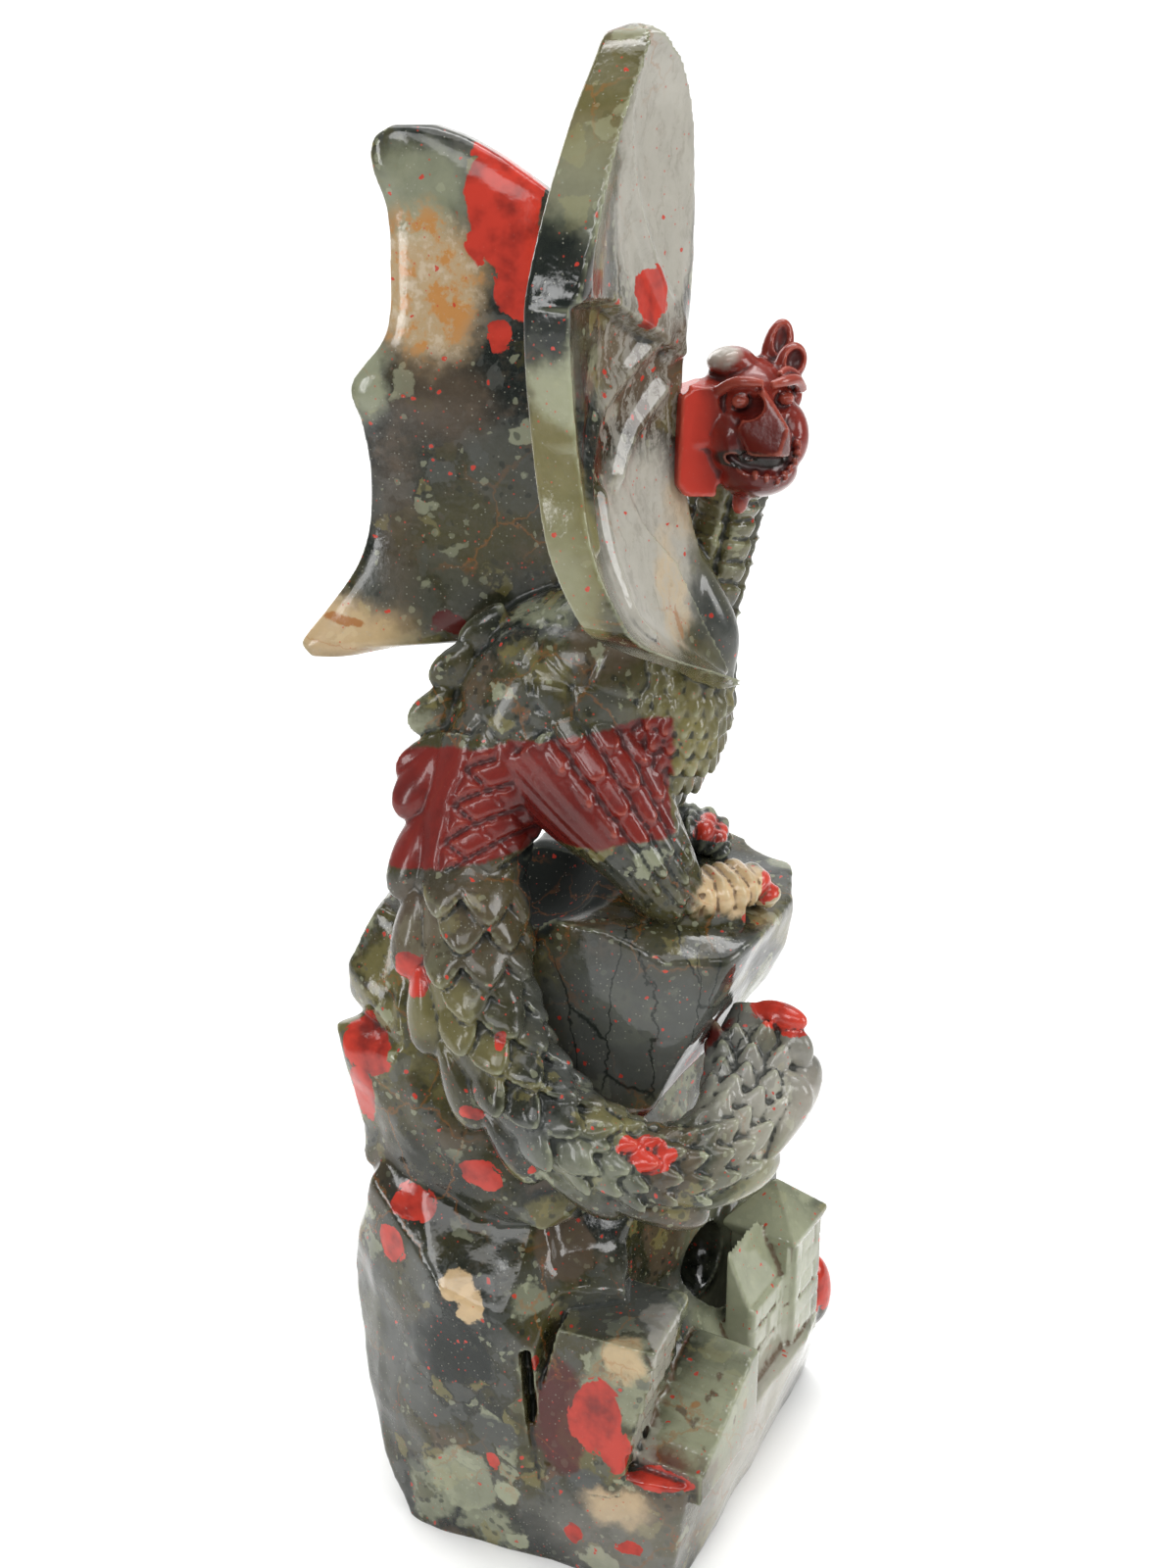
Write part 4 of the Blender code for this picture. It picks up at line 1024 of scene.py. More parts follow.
# Cliff, in grid squares of the rock
ROCK_MASSES = {
    "left_rock": (
        (-25.8, -15.3, -3), (-9.5, -21.9, -3), (-6.0, 20.0, -3), (-21.0, 6.0, -3),
        (-30.6, -11.0, 7), (-32.9, -6.5, 19), (-34.0, -4.5, 31), (-31.0, -9.0, 46),
        (-22.5, -19.0, 38), (-14.7, -21.8, 35), (-11.4, -22.6, 30), (-11.8, -22.8, 12),
        (-8.0, -18.0, 36), (-31.0, 10.0, 38), (-20.0, 22.0, 34), (-2.0, 20.0, 44),
        (-26.0, -6.0, 52), (-10.0, -12.0, 46),
    ),
    "back_rock": (
        (-14.0, -12.0, -3), (2.0, -12.0, -3), (6.0, 2.0, -3), (19.0, 14.0, -3),
        (-5.0, 27.8, -3), (-20.0, 8.0, -3), (-8.0, 29.0, 20), (-24.0, 20.0, 26),
        (4.0, 27.0, 36), (-10.0, -15.0, 40), (-2.0, -12.0, 37), (4.0, 2.0, 44),
        (14.0, 12.0, 50), (12.0, 20.0, 48), (-20.0, 20.0, 50), (-16.0, -10.0, 50),
        (13.0, 8.0, 54),
    ),
    "upper_rock": (
        (-31.9, -5.0, 46), (-26.0, -10.0, 46), (-10.0, -17.0, 44), (-2.0, -15.5, 50),
        (4.0, -8.0, 44), (13.2, 9.0, 55), (10.0, 18.0, 54), (-26.0, 16.0, 46),
        (-32.8, -1.0, 56), (-25.0, -12.5, 58), (-31.0, 8.0, 62), (-27.0, -9.0, 70),
        (-4.0, -13.0, 62), (-26.0, -4.0, 78), (-24.0, 12.0, 80), (-8.0, 18.0, 72),
        (8.0, 12.0, 66), (-12.0, -6.0, 82), (-4.0, 12.0, 82),
    ),
    "ledge": (
        (-15.0, -9.0, 82.2), (-4.0, -15.0, 82.2), (4.0, -18.0, 79.4), (11.0, -17.0, 79.0),
        (15.0, -13.0, 80.6), (19.6, -3.0, 81.2), (20.0, 6.0, 81.6), (11.0, 15.5, 82.2),
        (-10.0, 15.0, 82.2), (19.6, -3.0, 79.0), (18.6, -2.5, 74.0), (16.8, -2.5, 70.0),
        (15.0, -2.5, 68.4), (3.0, -16.6, 60.5), (-6.0, -14.0, 57.0), (1.2, -14.5, 57.0),
        (2.0, -9.0, 56.0), (12.0, 6.0, 67.0), (-12.0, 8.0, 60.0),
    ),
    "grey_peak": (
        (-29.4, -3.0, 79.4), (-33.2, -3.5, 72.4), (-33.0, -2.0, 67.4), (-27.0, -9.5, 66.0),
        (-24.0, -6.0, 78.0), (-26.0, 8.0, 80.0), (-32.0, 5.0, 70.0), (-24.0, -8.0, 60.0),
        (-20.0, 0.0, 60.0),
    ),
    "red_peak": (
        (-35.0, -4.0, 64.6), (-33.6, -6.5, 62.0), (-33.2, -5.0, 56.0), (-29.0, -9.0, 60.5),
        (-27.0, -11.0, 64.0), (-28.0, -2.0, 66.0), (-31.8, -4.0, 49.0), (-25.0, -12.0, 52.0),
        (-30.0, 6.0, 62.0), (-22.0, 0.0, 50.0),
    ),
    "bastion_back": (
        (-14.0, -18.0, 12), (-13.0, -18.0, 36), (-8.0, -18.0, 37), (0.0, -16.0, 35),
        (2.0, -16.0, 12), (-8.0, -8.0, 42), (0.0, -8.0, 38), (-12.0, -12.0, 12),
        (0.0, -8.0, 12),
    ),
}
# The squared base under the keep: corners at the underside, then at the top of the plinth
PLINTH_FOOT = ((-11.0, -21.3), (4.9, -27.8), (25.7, 15.4), (8.0, 22.0))
PLINTH_TOP = (
    (-12.3, -22.6), (6.9, -27.4), (15.2, -14.0), (24.6, 1.6), (28.4, 13.0), (12.0, 25.0), (-11.6, -18.0),
)
# The slope behind the stair, up to the cave under the cliff; heights count from the plinth
KEEP_SLOPE = (
    (2.0, -24.0, -3), (8.0, -21.0, -1), (13.6, -12.0, -1), (2.0, -15.0, 11), (6.0, -8.0, 11),
    (12.0, -4.0, 10.5), (14.4, -5.0, 4), (0.0, 0.0, 12), (12.0, 4.0, 12),
)
# Hollows in the rock: corners of the slot beside the bastion, then centre and radii in squares
SLOT = (
    (-13.4, -26, 31), (-10.8, -26, 31), (-12.0, -17, 31), (-11.2, -26, 12.6), (-9.4, -26, 12.6),
    (-10.4, -18, 12.6),
)
THIGH_HOLLOW = ((-10.5, -2.0, 3.0), (7.6, 11.0, 7.0))
CAVE = ((10.6, 1.0, 26.5), (4.4, 7.0, 5.0))

# Keep: places in grid squares, sizes in metres; a bastion's lean is its slant to the right and back,
# and a tower also names the sides that show wall blocks, in quarter turns
BASE_TURN = math.radians(-22)
KEEP_TURN = math.radians(-30)
FOOTING = 0.0026
BASTION = ((-5.0, -18.2), (0.0118, 0.0125, 0.0180), (0.20, 0.10))
GATEHOUSE = ((16.3, -4.0), (0.0034, 0.0090, 0.0112))
LEAN_TO_RISE = 0.0075
TOWERS = (
    ("tower", (19.8, 4.9), 0.0086, 0.0155, (0, 1, 3)),
    ("rear_tower", (14.5, 19.0), 0.0100, 0.0200, (0, 1)),
)
# Length of a wall block, counted in its height
BLOCK_LENGTH = 1.5
ROOF_HEIGHT = 0.0062
ROOF_OVERHANG = 0.0009
TURRET = ((25.6, 11.0), (0.0030, 0.0030, 0.0056))
STAIR_PLACE = (8.8, -18.6)
STEP_COUNT = 6
STEP_RISE = 0.0016
STEP_TREAD = 0.0026
STAIR_WIDTH = 0.0085
UNDERSIDE_TRIM = 0.003


def cliff():
    made = [hull(name, [rock_point(*p) for p in points]) for name, points in ROCK_MASSES.items()]
    foot_corners = [rock_point(x, y, 0) - Vector((0, 0, UNDERSIDE_TRIM)) for x, y in PLINTH_FOOT]
    made.append(hull("keep_ground", foot_corners + [plinth_point(x, y, 0) for x, y in PLINTH_TOP]))
    made.append(hull("keep_slope", [plinth_point(*p) for p in KEEP_SLOPE]))
    return made


def rock_hollows():
    """Cutters for the dark recess under the thigh, the slot beside the bastion and the cave."""

    def hollow(name, middle, radii):
        return ellipsoid(name, middle, [r * dragon_size(1) for r in radii])

    return [
        hollow("thigh_hollow", dragon_point(*THIGH_HOLLOW[0]), THIGH_HOLLOW[1]),
        hull("slot", [rock_point(*corner) for corner in SLOT]),
        hollow("cave", rock_point(*CAVE[0]), CAVE[1]),
    ]


def masonry(name, size, placed, walls):
    """A tower: a smooth core, and on the chosen walls courses of blocks that stand proud of it."""
    own = sizes()
    width, depth, height = size
    made = [block(f"{name}_core", size, placed)]
    courses = max(1, round(height / own.course_height))
    rise = height / courses
    turned = placed.to_3x3()
    upward = (turned @ Vector((0, 0, 1))).normalized()
    points = []
    for quarter in walls:
        reach, run = (width, depth) if quarter % 2 == 0 else (depth, width)
        count = max(1, round(run / (BLOCK_LENGTH * own.course_height)))
        step = run / count
        turn = Matrix.Rotation(quarter * math.pi / 2, 4, "Z")
        for row in range(courses):
            shift = (row % 2) * step / 2
            for i in range(count + row % 2):
                start = max(-run / 2, -run / 2 + i * step - shift)
                end = min(run / 2, -run / 2 + (i + 1) * step - shift)
                middle = turn @ Vector((reach / 2, (start + end) / 2, (row + 0.5) * rise))
                outward = (turned @ turn.to_3x3() @ Vector((1, 0, 0))).normalized()
                sides = (end - start - own.joint_width, rise - own.joint_width, own.block_proud * 2)
                points.append((placed @ middle, outward, upward, sides))
    made.append(repeat(f"{name}_blocks", points, (1.0, 1.0, 1.0), "block", uneven=0.02))
    return made


def hipped_roof(name, width, placed):
    """A roof that falls to all four eaves from a point."""
    half = width / 2 + ROOF_OVERHANG
    eaves = [(x, y, z) for x in (-half, half) for y in (-half, half) for z in (0, ROOF_OVERHANG)]
    return hull(name, [placed @ Vector(p) for p in [*eaves, (0, 0, ROOF_HEIGHT)]])


def keep():
    """Bastion, gatehouse, towers, turret and stair."""

    def stand(x, y, turn, lean=(0, 0)):
        slant = Matrix.Identity(4)
        slant[0][2], slant[1][2] = lean
        sunk = plinth_point(x, y, 0) - Vector((0, 0, FOOTING))
        return Matrix.Translation(sunk) @ Matrix.Rotation(turn, 4, "Z") @ slant

    place, size, lean = BASTION
    made = masonry("bastion", (*size[:2], size[2] + FOOTING), stand(*place, BASE_TURN, lean), (0,))

    place, size = GATEHOUSE
    gatehouse = stand(*place, KEEP_TURN)
    made += masonry("gatehouse", (*size[:2], size[2] + FOOTING), gatehouse, (0,))
    top = gatehouse @ Matrix.Translation((0, 0, size[2] + FOOTING))
    lean_to = [
        (x, y, z)
        for y in (-size[1] / 2, size[1] / 2)
        for x, z in ((size[0] / 2, 0), (-size[0] / 2, 0), (-size[0] / 2, LEAN_TO_RISE))
    ]
    made.append(hull("gatehouse_top", [top @ Vector(p) for p in lean_to]))

    for name, place, width, height, walls in TOWERS:
        foot_place = stand(*place, KEEP_TURN)
        made += masonry(name, (width, width, height + FOOTING), foot_place, walls)
        eaves = foot_place @ Matrix.Translation((0, 0, height + FOOTING))
        made.append(hipped_roof(f"{name}_roof", width, eaves))

    place, radii = TURRET
    made.append(ellipsoid("turret", plinth_point(*place, 0), radii))
    stair = stand(*STAIR_PLACE, KEEP_TURN)
    for i in range(STEP_COUNT):
        size = (STAIR_WIDTH, STEP_TREAD * (STEP_COUNT - i), STEP_RISE + (FOOTING if i == 0 else 0))
        raised = STEP_RISE * i + (FOOTING if i else 0)
        made.append(block(f"step_{i}", size, stair @ Matrix.Translation((0, STEP_TREAD * i / 2, raised))))
    run, rise = STEP_TREAD * STEP_COUNT, STEP_RISE * STEP_COUNT + FOOTING
    # Stone that nearly fills the steps: its side, from the foot of the stair to the last step
    side = (
        (-run / 2, STEP_RISE * 0.65 + FOOTING),
        (-run / 2, 0),
        (run / 2, 0),
        (run / 2 - STEP_TREAD, rise - STEP_RISE * 0.35),
    )
    slope = [Vector((x, y, z)) for x in (-STAIR_WIDTH / 2, STAIR_WIDTH / 2) for y, z in side]
    made.append(hull("stair_slope", [stair @ corner for corner in slope]))
    return made


def vertices(mesh, what="co"):
    values = np.empty(len(mesh.vertices) * 3)
    mesh.vertices.foreach_get(what, values)
    return values.reshape(-1, 3)


SLOW_WAVE = 0.0065
SMALL_WAVE = 0.0024


def roughen_rock(mesh):
    """Slow waves over the rock, with smaller ones on them."""
    own = sizes()
    points = vertices(mesh)
    slow = np.array([noise.noise(Vector(p) / SLOW_WAVE) for p in points])
    small = np.array([noise.noise(Vector(p) / SMALL_WAVE) for p in points])
    lift = own.rock_waves * slow + own.rock_waves * 0.25 * small
    points += vertices(mesh, "normal") * lift[:, None]
    mesh.vertices.foreach_set("co", points.ravel())
    mesh.update()


def cut_flat(mesh, height):
    """Cuts the mesh off flat below a height and closes it."""
    shape = bmesh.new()
    shape.from_mesh(mesh)
    made = bmesh.ops.bisect_plane(
        shape,
        geom=shape.verts[:] + shape.edges[:] + shape.faces[:],
        plane_co=(0, 0, height),
        plane_no=(0, 0, 1),
        clear_inner=True,
    )
    rim = [e for e in made["geom_cut"] if isinstance(e, bmesh.types.BMEdge)]
    bmesh.ops.holes_fill(shape, edges=rim, sides=0)
    bmesh.ops.triangulate(shape, faces=[f for f in shape.faces if len(f.verts) > 4])
    shape.to_mesh(mesh)
    shape.free()


def mark_edges(mesh):
    """Stores how sharply each point stands out, in curvature per millimetre, as the attribute "bend"."""
    points = vertices(mesh) * 1000
    normals = vertices(mesh, "normal")
    edges = np.empty(len(mesh.edges) * 2, dtype=np.int64)
    mesh.edges.foreach_get("vertices", edges)
    a, b = edges.reshape(-1, 2).T
    apart = points[a] - points[b]
    far = np.maximum((apart**2).sum(1), 1e-4)
    count = np.bincount(a, minlength=len(points)) + np.bincount(b, minlength=len(points))

    def gather(at_a, at_b):
        total = np.bincount(a, at_a, len(points)) + np.bincount(b, at_b, len(points))
        return total / np.maximum(count, 1)

    bend = gather(2 * (normals[a] * apart).sum(1) / far, -2 * (normals[b] * apart).sum(1) / far)
    bend = np.clip(bend, -4, 4)
    for _ in range(2):
        bend = 0.5 * bend + 0.5 * gather(bend[b], bend[a])
    mesh.attributes.new("bend", "FLOAT", "POINT").data.foreach_set("value", bend.astype(np.float32))


# Most triangles of each piece
DRAGON_TRIANGLES = 190000
HEAD_TRIANGLES = 90000
CLIFF_TRIANGLES = 180000


def finish_piece(carved, triangles, jasper=0.0, matt=0.0):
    """Polishes, thins and dresses a melted piece, and ties it to the solid.

    jasper is its share of red, and matt how much duller it is below the wings.
    """
    polish = carved.modifiers.new("polish", "SMOOTH")
    polish.factor = 0.5
    polish.iterations = 1
    thin = carved.modifiers.new("thin", "DECIMATE")
    faces = sum(len(p.vertices) - 2 for p in carved.data.polygons)
    thin.ratio = min(1.0, triangles / faces)
    bake(carved)
    if vertices(carved.data)[:, 2].min() < 0:
        cut_flat(carved.data, 0.0)
    mark_edges(carved.data)
    for name, amount in (("jasper", jasper), ("matt", matt)):
        everywhere = np.full(len(carved.data.vertices), amount, dtype=np.float32)
        carved.data.attributes.new(name, "FLOAT", "POINT").data.foreach_set("value", everywhere)
    carved.data.shade_smooth()
    carved.data.materials.clear()
    carved.data.materials.append(stone())
    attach(carved, "root")
    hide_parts(STATUE_NODE)


# Named places of the stone's colours: centre and radii in millimetres of the statue
RED_PATCHES = {
    "far_wing_top": ((-13.6, 3.2, 158.0), (4.2, 6.0, 7.2)),
    "far_wing_fold": ((-12.0, 2.6, 151.0), (2.6, 5.0, 5.4)),
    "far_wing_spot": ((-14.3, 2.6, 144.3), (1.4, 4.0, 1.9)),
    "near_wing_spot": ((0.9, -14.0, 150.2), (2.2, 3.0, 3.0)),
    "tail_outer": ((-24.6, -15.4, 77.0), (2.4, 3.6, 2.8)),
    "tail_inner": ((-14.2, -21.7, 72.2), (0.8, 1.2, 1.0)),
    "tail_low": ((-17.7, -21.3, 62.5), (1.7, 1.8, 1.1)),
    "tail_bottom": ((2.3, -27.4, 61.2), (2.6, 2.4, 2.2)),
    "tail_bottom_left": ((-0.3, -26.5, 62.2), (0.9, 1.4, 1.3)),
    "tail_under": ((-10.6, -24.8, 57.0), (0.9, 1.2, 0.8)),
    "tail_tip": ((18.0, -12.2, 70.8), (4.8, 4.4, 2.3)),
    "rock_peak": ((-30.8, -8.1, 63.6), (3.6, 5.0, 3.6)),
    "rock_peak_low": ((-31.6, -7.2, 57.0), (1.8, 4.0, 4.4)),
    "rock_mid": ((-25.9, -12.2, 44.9), (3.0, 3.0, 2.0)),
    "rock_mid_left": ((-28.4, -12.8, 39.4), (2.2, 3.0, 2.4)),
    "rock_mid_right": ((-17.2, -14.7, 50.1), (2.6, 3.0, 1.7)),
    "bastion_oval": ((-3.6, -24.3, 23.6), (3.1, 3.0, 4.9)),
    "bastion_oval_low": ((-1.6, -25.6, 20.0), (1.9, 2.4, 3.0)),
    "stair_foot": ((3.6, -26.0, 15.6), (4.4, 2.2, 1.1)),
    "plinth_spot": ((-6.3, -24.1, 5.7), (0.9, 1.6, 1.9)),
    "plinth_corner": ((0.6, -26.3, 5.9), (1.5, 1.5, 1.0)),
    "plinth_left": ((-16.2, -20.8, 14.0), (0.9, 1.4, 1.2)),
    "groove_spot": ((-10.9, -22.1, 29.0), (0.5, 1.2, 1.0)),
    "bastion_side": ((6.2, -20.0, 27.4), (0.8, 2.4, 2.0)),
    "ledge_spot": ((14.0, -10.2, 81.8), (1.7, 1.6, 0.9)),
    "turret": ((27.0, 10.6, 18.4), (4.2, 4.8, 4.4)),
    "toe_tips": ((15.9, -8.6, 84.6), (1.1, 4.0, 1.9)),
    "far_toes": ((10.9, 5.5, 86.0), (3.2, 4.2, 1.5)),
    "boulder_strip": ((7.2, -12.6, 65.0), (1.1, 2.2, 1.6)),
}

# Other places where the stone or its polish changes, or where shade is painted: under the thigh, on the
# muzzle and in the mouth
PLACES = {
    "wing_hollow": ((2.2, -14.0, 144.0), (6.5, 10.5, 30.0)),
    "wing_cream": ((-22.5, 4.0, 149.5), (6.5, 9.0, 8.0)),
    "thigh_underside": ((-8.0, -11.5, 93.0), (6.0, 6.0, 5.5)),
    "muzzle": ((12.6, -11.5, 133.6), (5.0, 6.5, 5.6)),
    "tuft": ((7.4, -7.0, 143.6), (3.6, 3.6, 1.9)),
    "mouth": ((12.6, -10.4, 133.5), (4.8, 3.2, 1.1)),
    "bastion_top": ((4.1, -21.3, 30.0), (2.6, 6.4, 6.4)),
    "bastion_foot": ((2.3, -22.3, 21.5), (2.3, 5.6, 5.8)),
    "boulder": ((2.0, -15.0, 72.0), (13.0, 6.0, 11.0)),
    "keep": ((16.0, -3.0, 24.0), (14.0, 26.0, 13.0)),
    "near_foot": ((11.0, -10.0, 86.0), (7.0, 6.0, 5.0)),
    "bastion": ((4.5, -20.5, 26.0), (3.4, 7.0, 10.0)),
    "recess": ((-10.5, -1.0, 84.0), (10.0, 11.8, 9.4)),
}
# How far the stone's patterns are stirred, in millimetres, and cells per millimetre of its clasts
STIR = 4.5
GENTLE_STIR = 2.2
BIG_CLASTS = 0.125
MIDDLE_CLASTS = 0.36
SMALL_CLASTS = 1.05
SPECKS = 2.5
# The red band over hip and thigh: slope to the right and height of its top and foot, and slope to the
# back and place of its right end
BAND_TOP = (0.21, 104.9)
BAND_FOOT = (0.185, 92.5)
BAND_END = (0.2, 2.3)
# The stone is duller below this height, and the face turns maroon from the first to the second line
DULL_HEIGHT = 119.0
FACE_TURN = (41.0, 43.6)

# Clouded zones: centre and radii in millimetres, colour, strength and softness; the two marked below are
# painted shade
STONE_ZONES = (
    ((-22.5, 4.0, 149.0), (6.6, 9.0, 8.0), "cream", 0.70, 0.30),
    ((-34.0, 5.5, 110.6), (8.5, 8.0, 3.6), "cream", 0.75, 0.5),
    ((-22.5, 5.0, 159.0), (5.4, 8.0, 4.4), "celadon", 0.60, 0.4),
    ((-20.5, 3.0, 137.0), (5.4, 6.0, 4.4), "umber", 0.60, 0.5),
    ((-28.5, 5.0, 139.0), (2.0, 6.0, 4.0), "celadon", 0.70, 0.4),
    ((-26.0, 5.0, 124.0), (2.4, 6.0, 11.0), "umber", 0.40, 0.5),
    ((-18.5, 3.0, 119.0), (7.5, 6.0, 9.0), "moss", 0.40, 0.7),
    ((-20.2, 2.8, 112.1), (2.2, 2.4, 1.2), "wine", 0.95, 0.15),
    ((-7.0, -29.6, 130.0), (4.6, 5.0, 17.0), "olive", 0.75, 0.25),
    ((-7.4, -29.6, 124.0), (3.0, 4.0, 8.0), "celadon", 0.45, 0.7),
    ((-6.0, -29.6, 144.0), (4.0, 4.0, 3.6), "celadon", 0.75, 0.3),
    ((-2.5, -25.0, 168.0), (5.0, 6.5, 7.0), "olive", 0.50, 0.6),
    ((-5.0, -27.8, 160.5), (3.8, 4.0, 5.6), "celadon", 0.50, 0.6),
    ((-8.4, -30.0, 152.6), (4.0, 5.0, 6.6), "shade", 0.97, 0.3),
    ((2.4, -14.0, 162.0), (5.5, 10.5, 15.5), "silver", 0.95, 0.15),
    ((1.0, -14.0, 124.0), (6.5, 13.0, 11.0), "silver", 0.95, 0.25),
    ((1.0, -13.0, 143.5), (5.5, 10.5, 7.0), "umber", 0.80, 0.3),
    ((4.2, -13.0, 121.0), (1.8, 2.6, 9.0), "cream", 0.50, 0.4),
    ((6.5, -8.0, 128.5), (3.0, 4.0, 4.0), "cream", 0.45, 0.5),
    ((9.0, -8.4, 116.5), (3.6, 4.0, 9.0), "slate", 0.65, 0.4),
    ((-19.0, -19.0, 72.0), (9.0, 10.0, 13.0), "moss", 0.60, 0.5),
    ((-21.5, -19.0, 73.5), (5.0, 7.0, 4.6), "olive", 0.60, 0.3),
    ((-14.5, -21.0, 70.0), (3.0, 4.0, 3.0), "olive", 0.50, 0.3),
    ((-24.5, -14.0, 82.5), (4.0, 5.0, 4.0), "umber", 0.55, 0.3),
    ((-9.5, -24.0, 61.5), (4.4, 4.0, 3.0), "slate", 0.60, 0.3),
    ((-4.0, -25.0, 59.0), (6.0, 5.0, 4.0), "celadon", 0.40, 0.6),
    ((14.0, -22.0, 57.0), (8.0, 6.0, 6.0), "celadon", 0.35, 0.7),
    ((-18.0, -17.0, 84.0), (8.0, 9.0, 6.0), "umber", 0.35, 0.6),
    ((6.0, -12.0, 104.0), (6.0, 8.0, 9.0), "olive", 0.65, 0.5),
    ((14.5, -16.0, 63.5), (7.5, 9.0, 8.5), "silver", 0.62, 0.5),
    ((15.5, -12.5, 68.0), (2.6, 3.0, 1.8), "moss", 0.70, 0.5),
    ((9.8, -3.0, 126.0), (4.4, 6.0, 10.0), "olive", 0.45, 0.4),
    ((11.5, -10.5, 85.2), (5.4, 5.0, 3.0), "cream", 0.90, 0.2),
    ((15.8, -9.5, 83.4), (2.6, 4.0, 2.4), "cream", 0.55, 0.6),
    ((18.0, -2.0, 26.0), (10.0, 16.0, 13.0), "celadon", 0.85, 0.35),
    ((17.5, -10.0, 8.0), (9.5, 18.0, 12.0), "silver", 0.90, 0.5),
    ((4.1, -21.3, 30.0), (2.5, 6.2, 6.2), "silver", 0.80, 0.10),
    ((2.3, -22.3, 21.5), (2.2, 5.4, 5.6), "silver", 0.70, 0.10),
    ((-1.5, -17.0, 34.0), (7.0, 6.0, 2.4), "slate", 0.70, 0.4),
    ((0.5, -15.5, 40.0), (4.6, 4.0, 3.6), "silver", 0.45, 0.4),
    ((-7.5, -14.0, 40.5), (3.6, 5.0, 5.0), "umber", 0.70, 0.08),
    ((-24.0, -12.5, 47.5), (8.0, 6.0, 6.5), "shade", 0.80, 0.4),
    ((-14.0, -16.5, 44.0), (3.4, 4.0, 3.0), "slate", 0.75, 0.08),
    ((-12.0, -17.0, 36.0), (3.0, 4.0, 2.6), "celadon", 0.45, 0.08),
    ((-20.5, -19.5, 9.5), (4.6, 4.0, 5.0), "celadon", 0.62, 0.06),
    ((-24.0, -16.5, 19.0), (4.0, 4.0, 2.6), "slate", 0.80, 0.08),
    ((-15.5, -21.0, 18.5), (3.6, 3.0, 2.2), "slate", 0.70, 0.08),
    ((-10.0, -22.5, 4.0), (4.6, 3.0, 3.4), "shade", 0.75, 0.10),
    ((-3.2, -25.2, 2.6), (2.6, 2.0, 2.2), "celadon", 0.75, 0.08),
    ((-31.0, -11.0, 24.0), (4.0, 8.0, 13.0), "slate", 0.75, 0.3),
    ((-1.0, -25.6, 11.4), (4.0, 2.6, 2.6), "cream", 0.8, 0.4),
    ((-0.5, -24.7, 31.6), (2.2, 3.0, 2.6), "cream", 0.7, 0.3),
    ((-20.2, -19.8, 38.2), (2.3, 3.4, 1.6), "cream", 0.85, 0.10),
    ((-18.4, -20.3, 36.0), (1.5, 3.0, 2.6), "cream", 0.85, 0.10),
    ((-14.6, -21.3, 9.7), (1.7, 2.0, 1.7), "celadon", 0.9, 0.15),
    ((-13.2, -21.0, 2.4), (1.6, 2.0, 1.2), "celadon", 0.9, 0.15),
    ((-4.9, -24.7, 15.0), (1.8, 2.0, 1.6), "slate", 0.8, 0.15),
    ((-1.0, -26.0, 6.0), (12.0, 5.0, 6.0), "silver", 0.30, 0.6),
    ((-21.5, -18.5, 28.5), (6.5, 6.0, 4.2), "shade", 0.96, 0.08),
    ((-8.0, -22.5, 22.0), (3.4, 4.0, 8.0), "wine", 0.85, 0.15),
    ((-12.0, -20.0, 22.0), (1.6, 4.0, 9.0), "moss", 0.85, 0.3),
    ((1.0, -15.0, 70.0), (13.0, 8.0, 10.0), "slate", 0.92, 0.4),
    # Painted shade: the recess under the thigh
    ((-10.5, -1.0, 84.0), (10.0, 11.8, 9.4), "shade", 1.40, 0.1),
    ((10.0, -20.0, 20.0), (6.0, 7.5, 5.5), "celadon", 0.80, 0.5),
    ((6.0, -24.0, 16.4), (4.5, 3.0, 1.8), "brick", 0.60, 0.5),
    # Painted shade: the cave under the cliff
    ((10.5, 1.0, 25.5), (5.0, 7.5, 5.0), "shade", 0.97, 0.25),
)

# Straight veins and coloured edges: both ends in millimetres, half width, colour and strength
STONE_VEINS = (
    ((1.0, -16.6, 58.4), (6.6, -13.6, 63.9), 0.85, "brick", 0.95),
    ((6.6, -13.6, 63.9), (11.6, -12.6, 70.4), 0.85, "brick", 0.95),
    ((11.6, -12.6, 70.4), (14.4, -12.0, 73.8), 0.80, "brick", 0.95),
    ((-37.0, 6.0, 112.4), (-24.0, 4.0, 110.6), 0.45, "rust", 0.80),
    ((3.4, -14.5, 131.0), (5.4, -13.0, 114.0), 0.30, "rust", 0.50),
    ((1.2, -14.0, 148.0), (2.4, -14.5, 136.0), 0.28, "rust", 0.55),
    ((4.7, -25.3, 17.4), (12.0, -16.4, 24.3), 0.42, "umber", 0.85),
    ((7.2, -19.6, 21.0), (14.5, -17.2, 19.6), 0.40, "rust", 0.60),
    ((9.3, -24.3, 19.3), (6.4, -19.0, 20.8), 0.40, "umber", 0.85),
    ((10.2, -18.4, 22.6), (13.4, -19.8, 19.0), 0.36, "umber", 0.80),
)


def stone():
    """The polished breccia, made once."""
    return bpy.data.materials.get("polished_breccia") or make_stone()


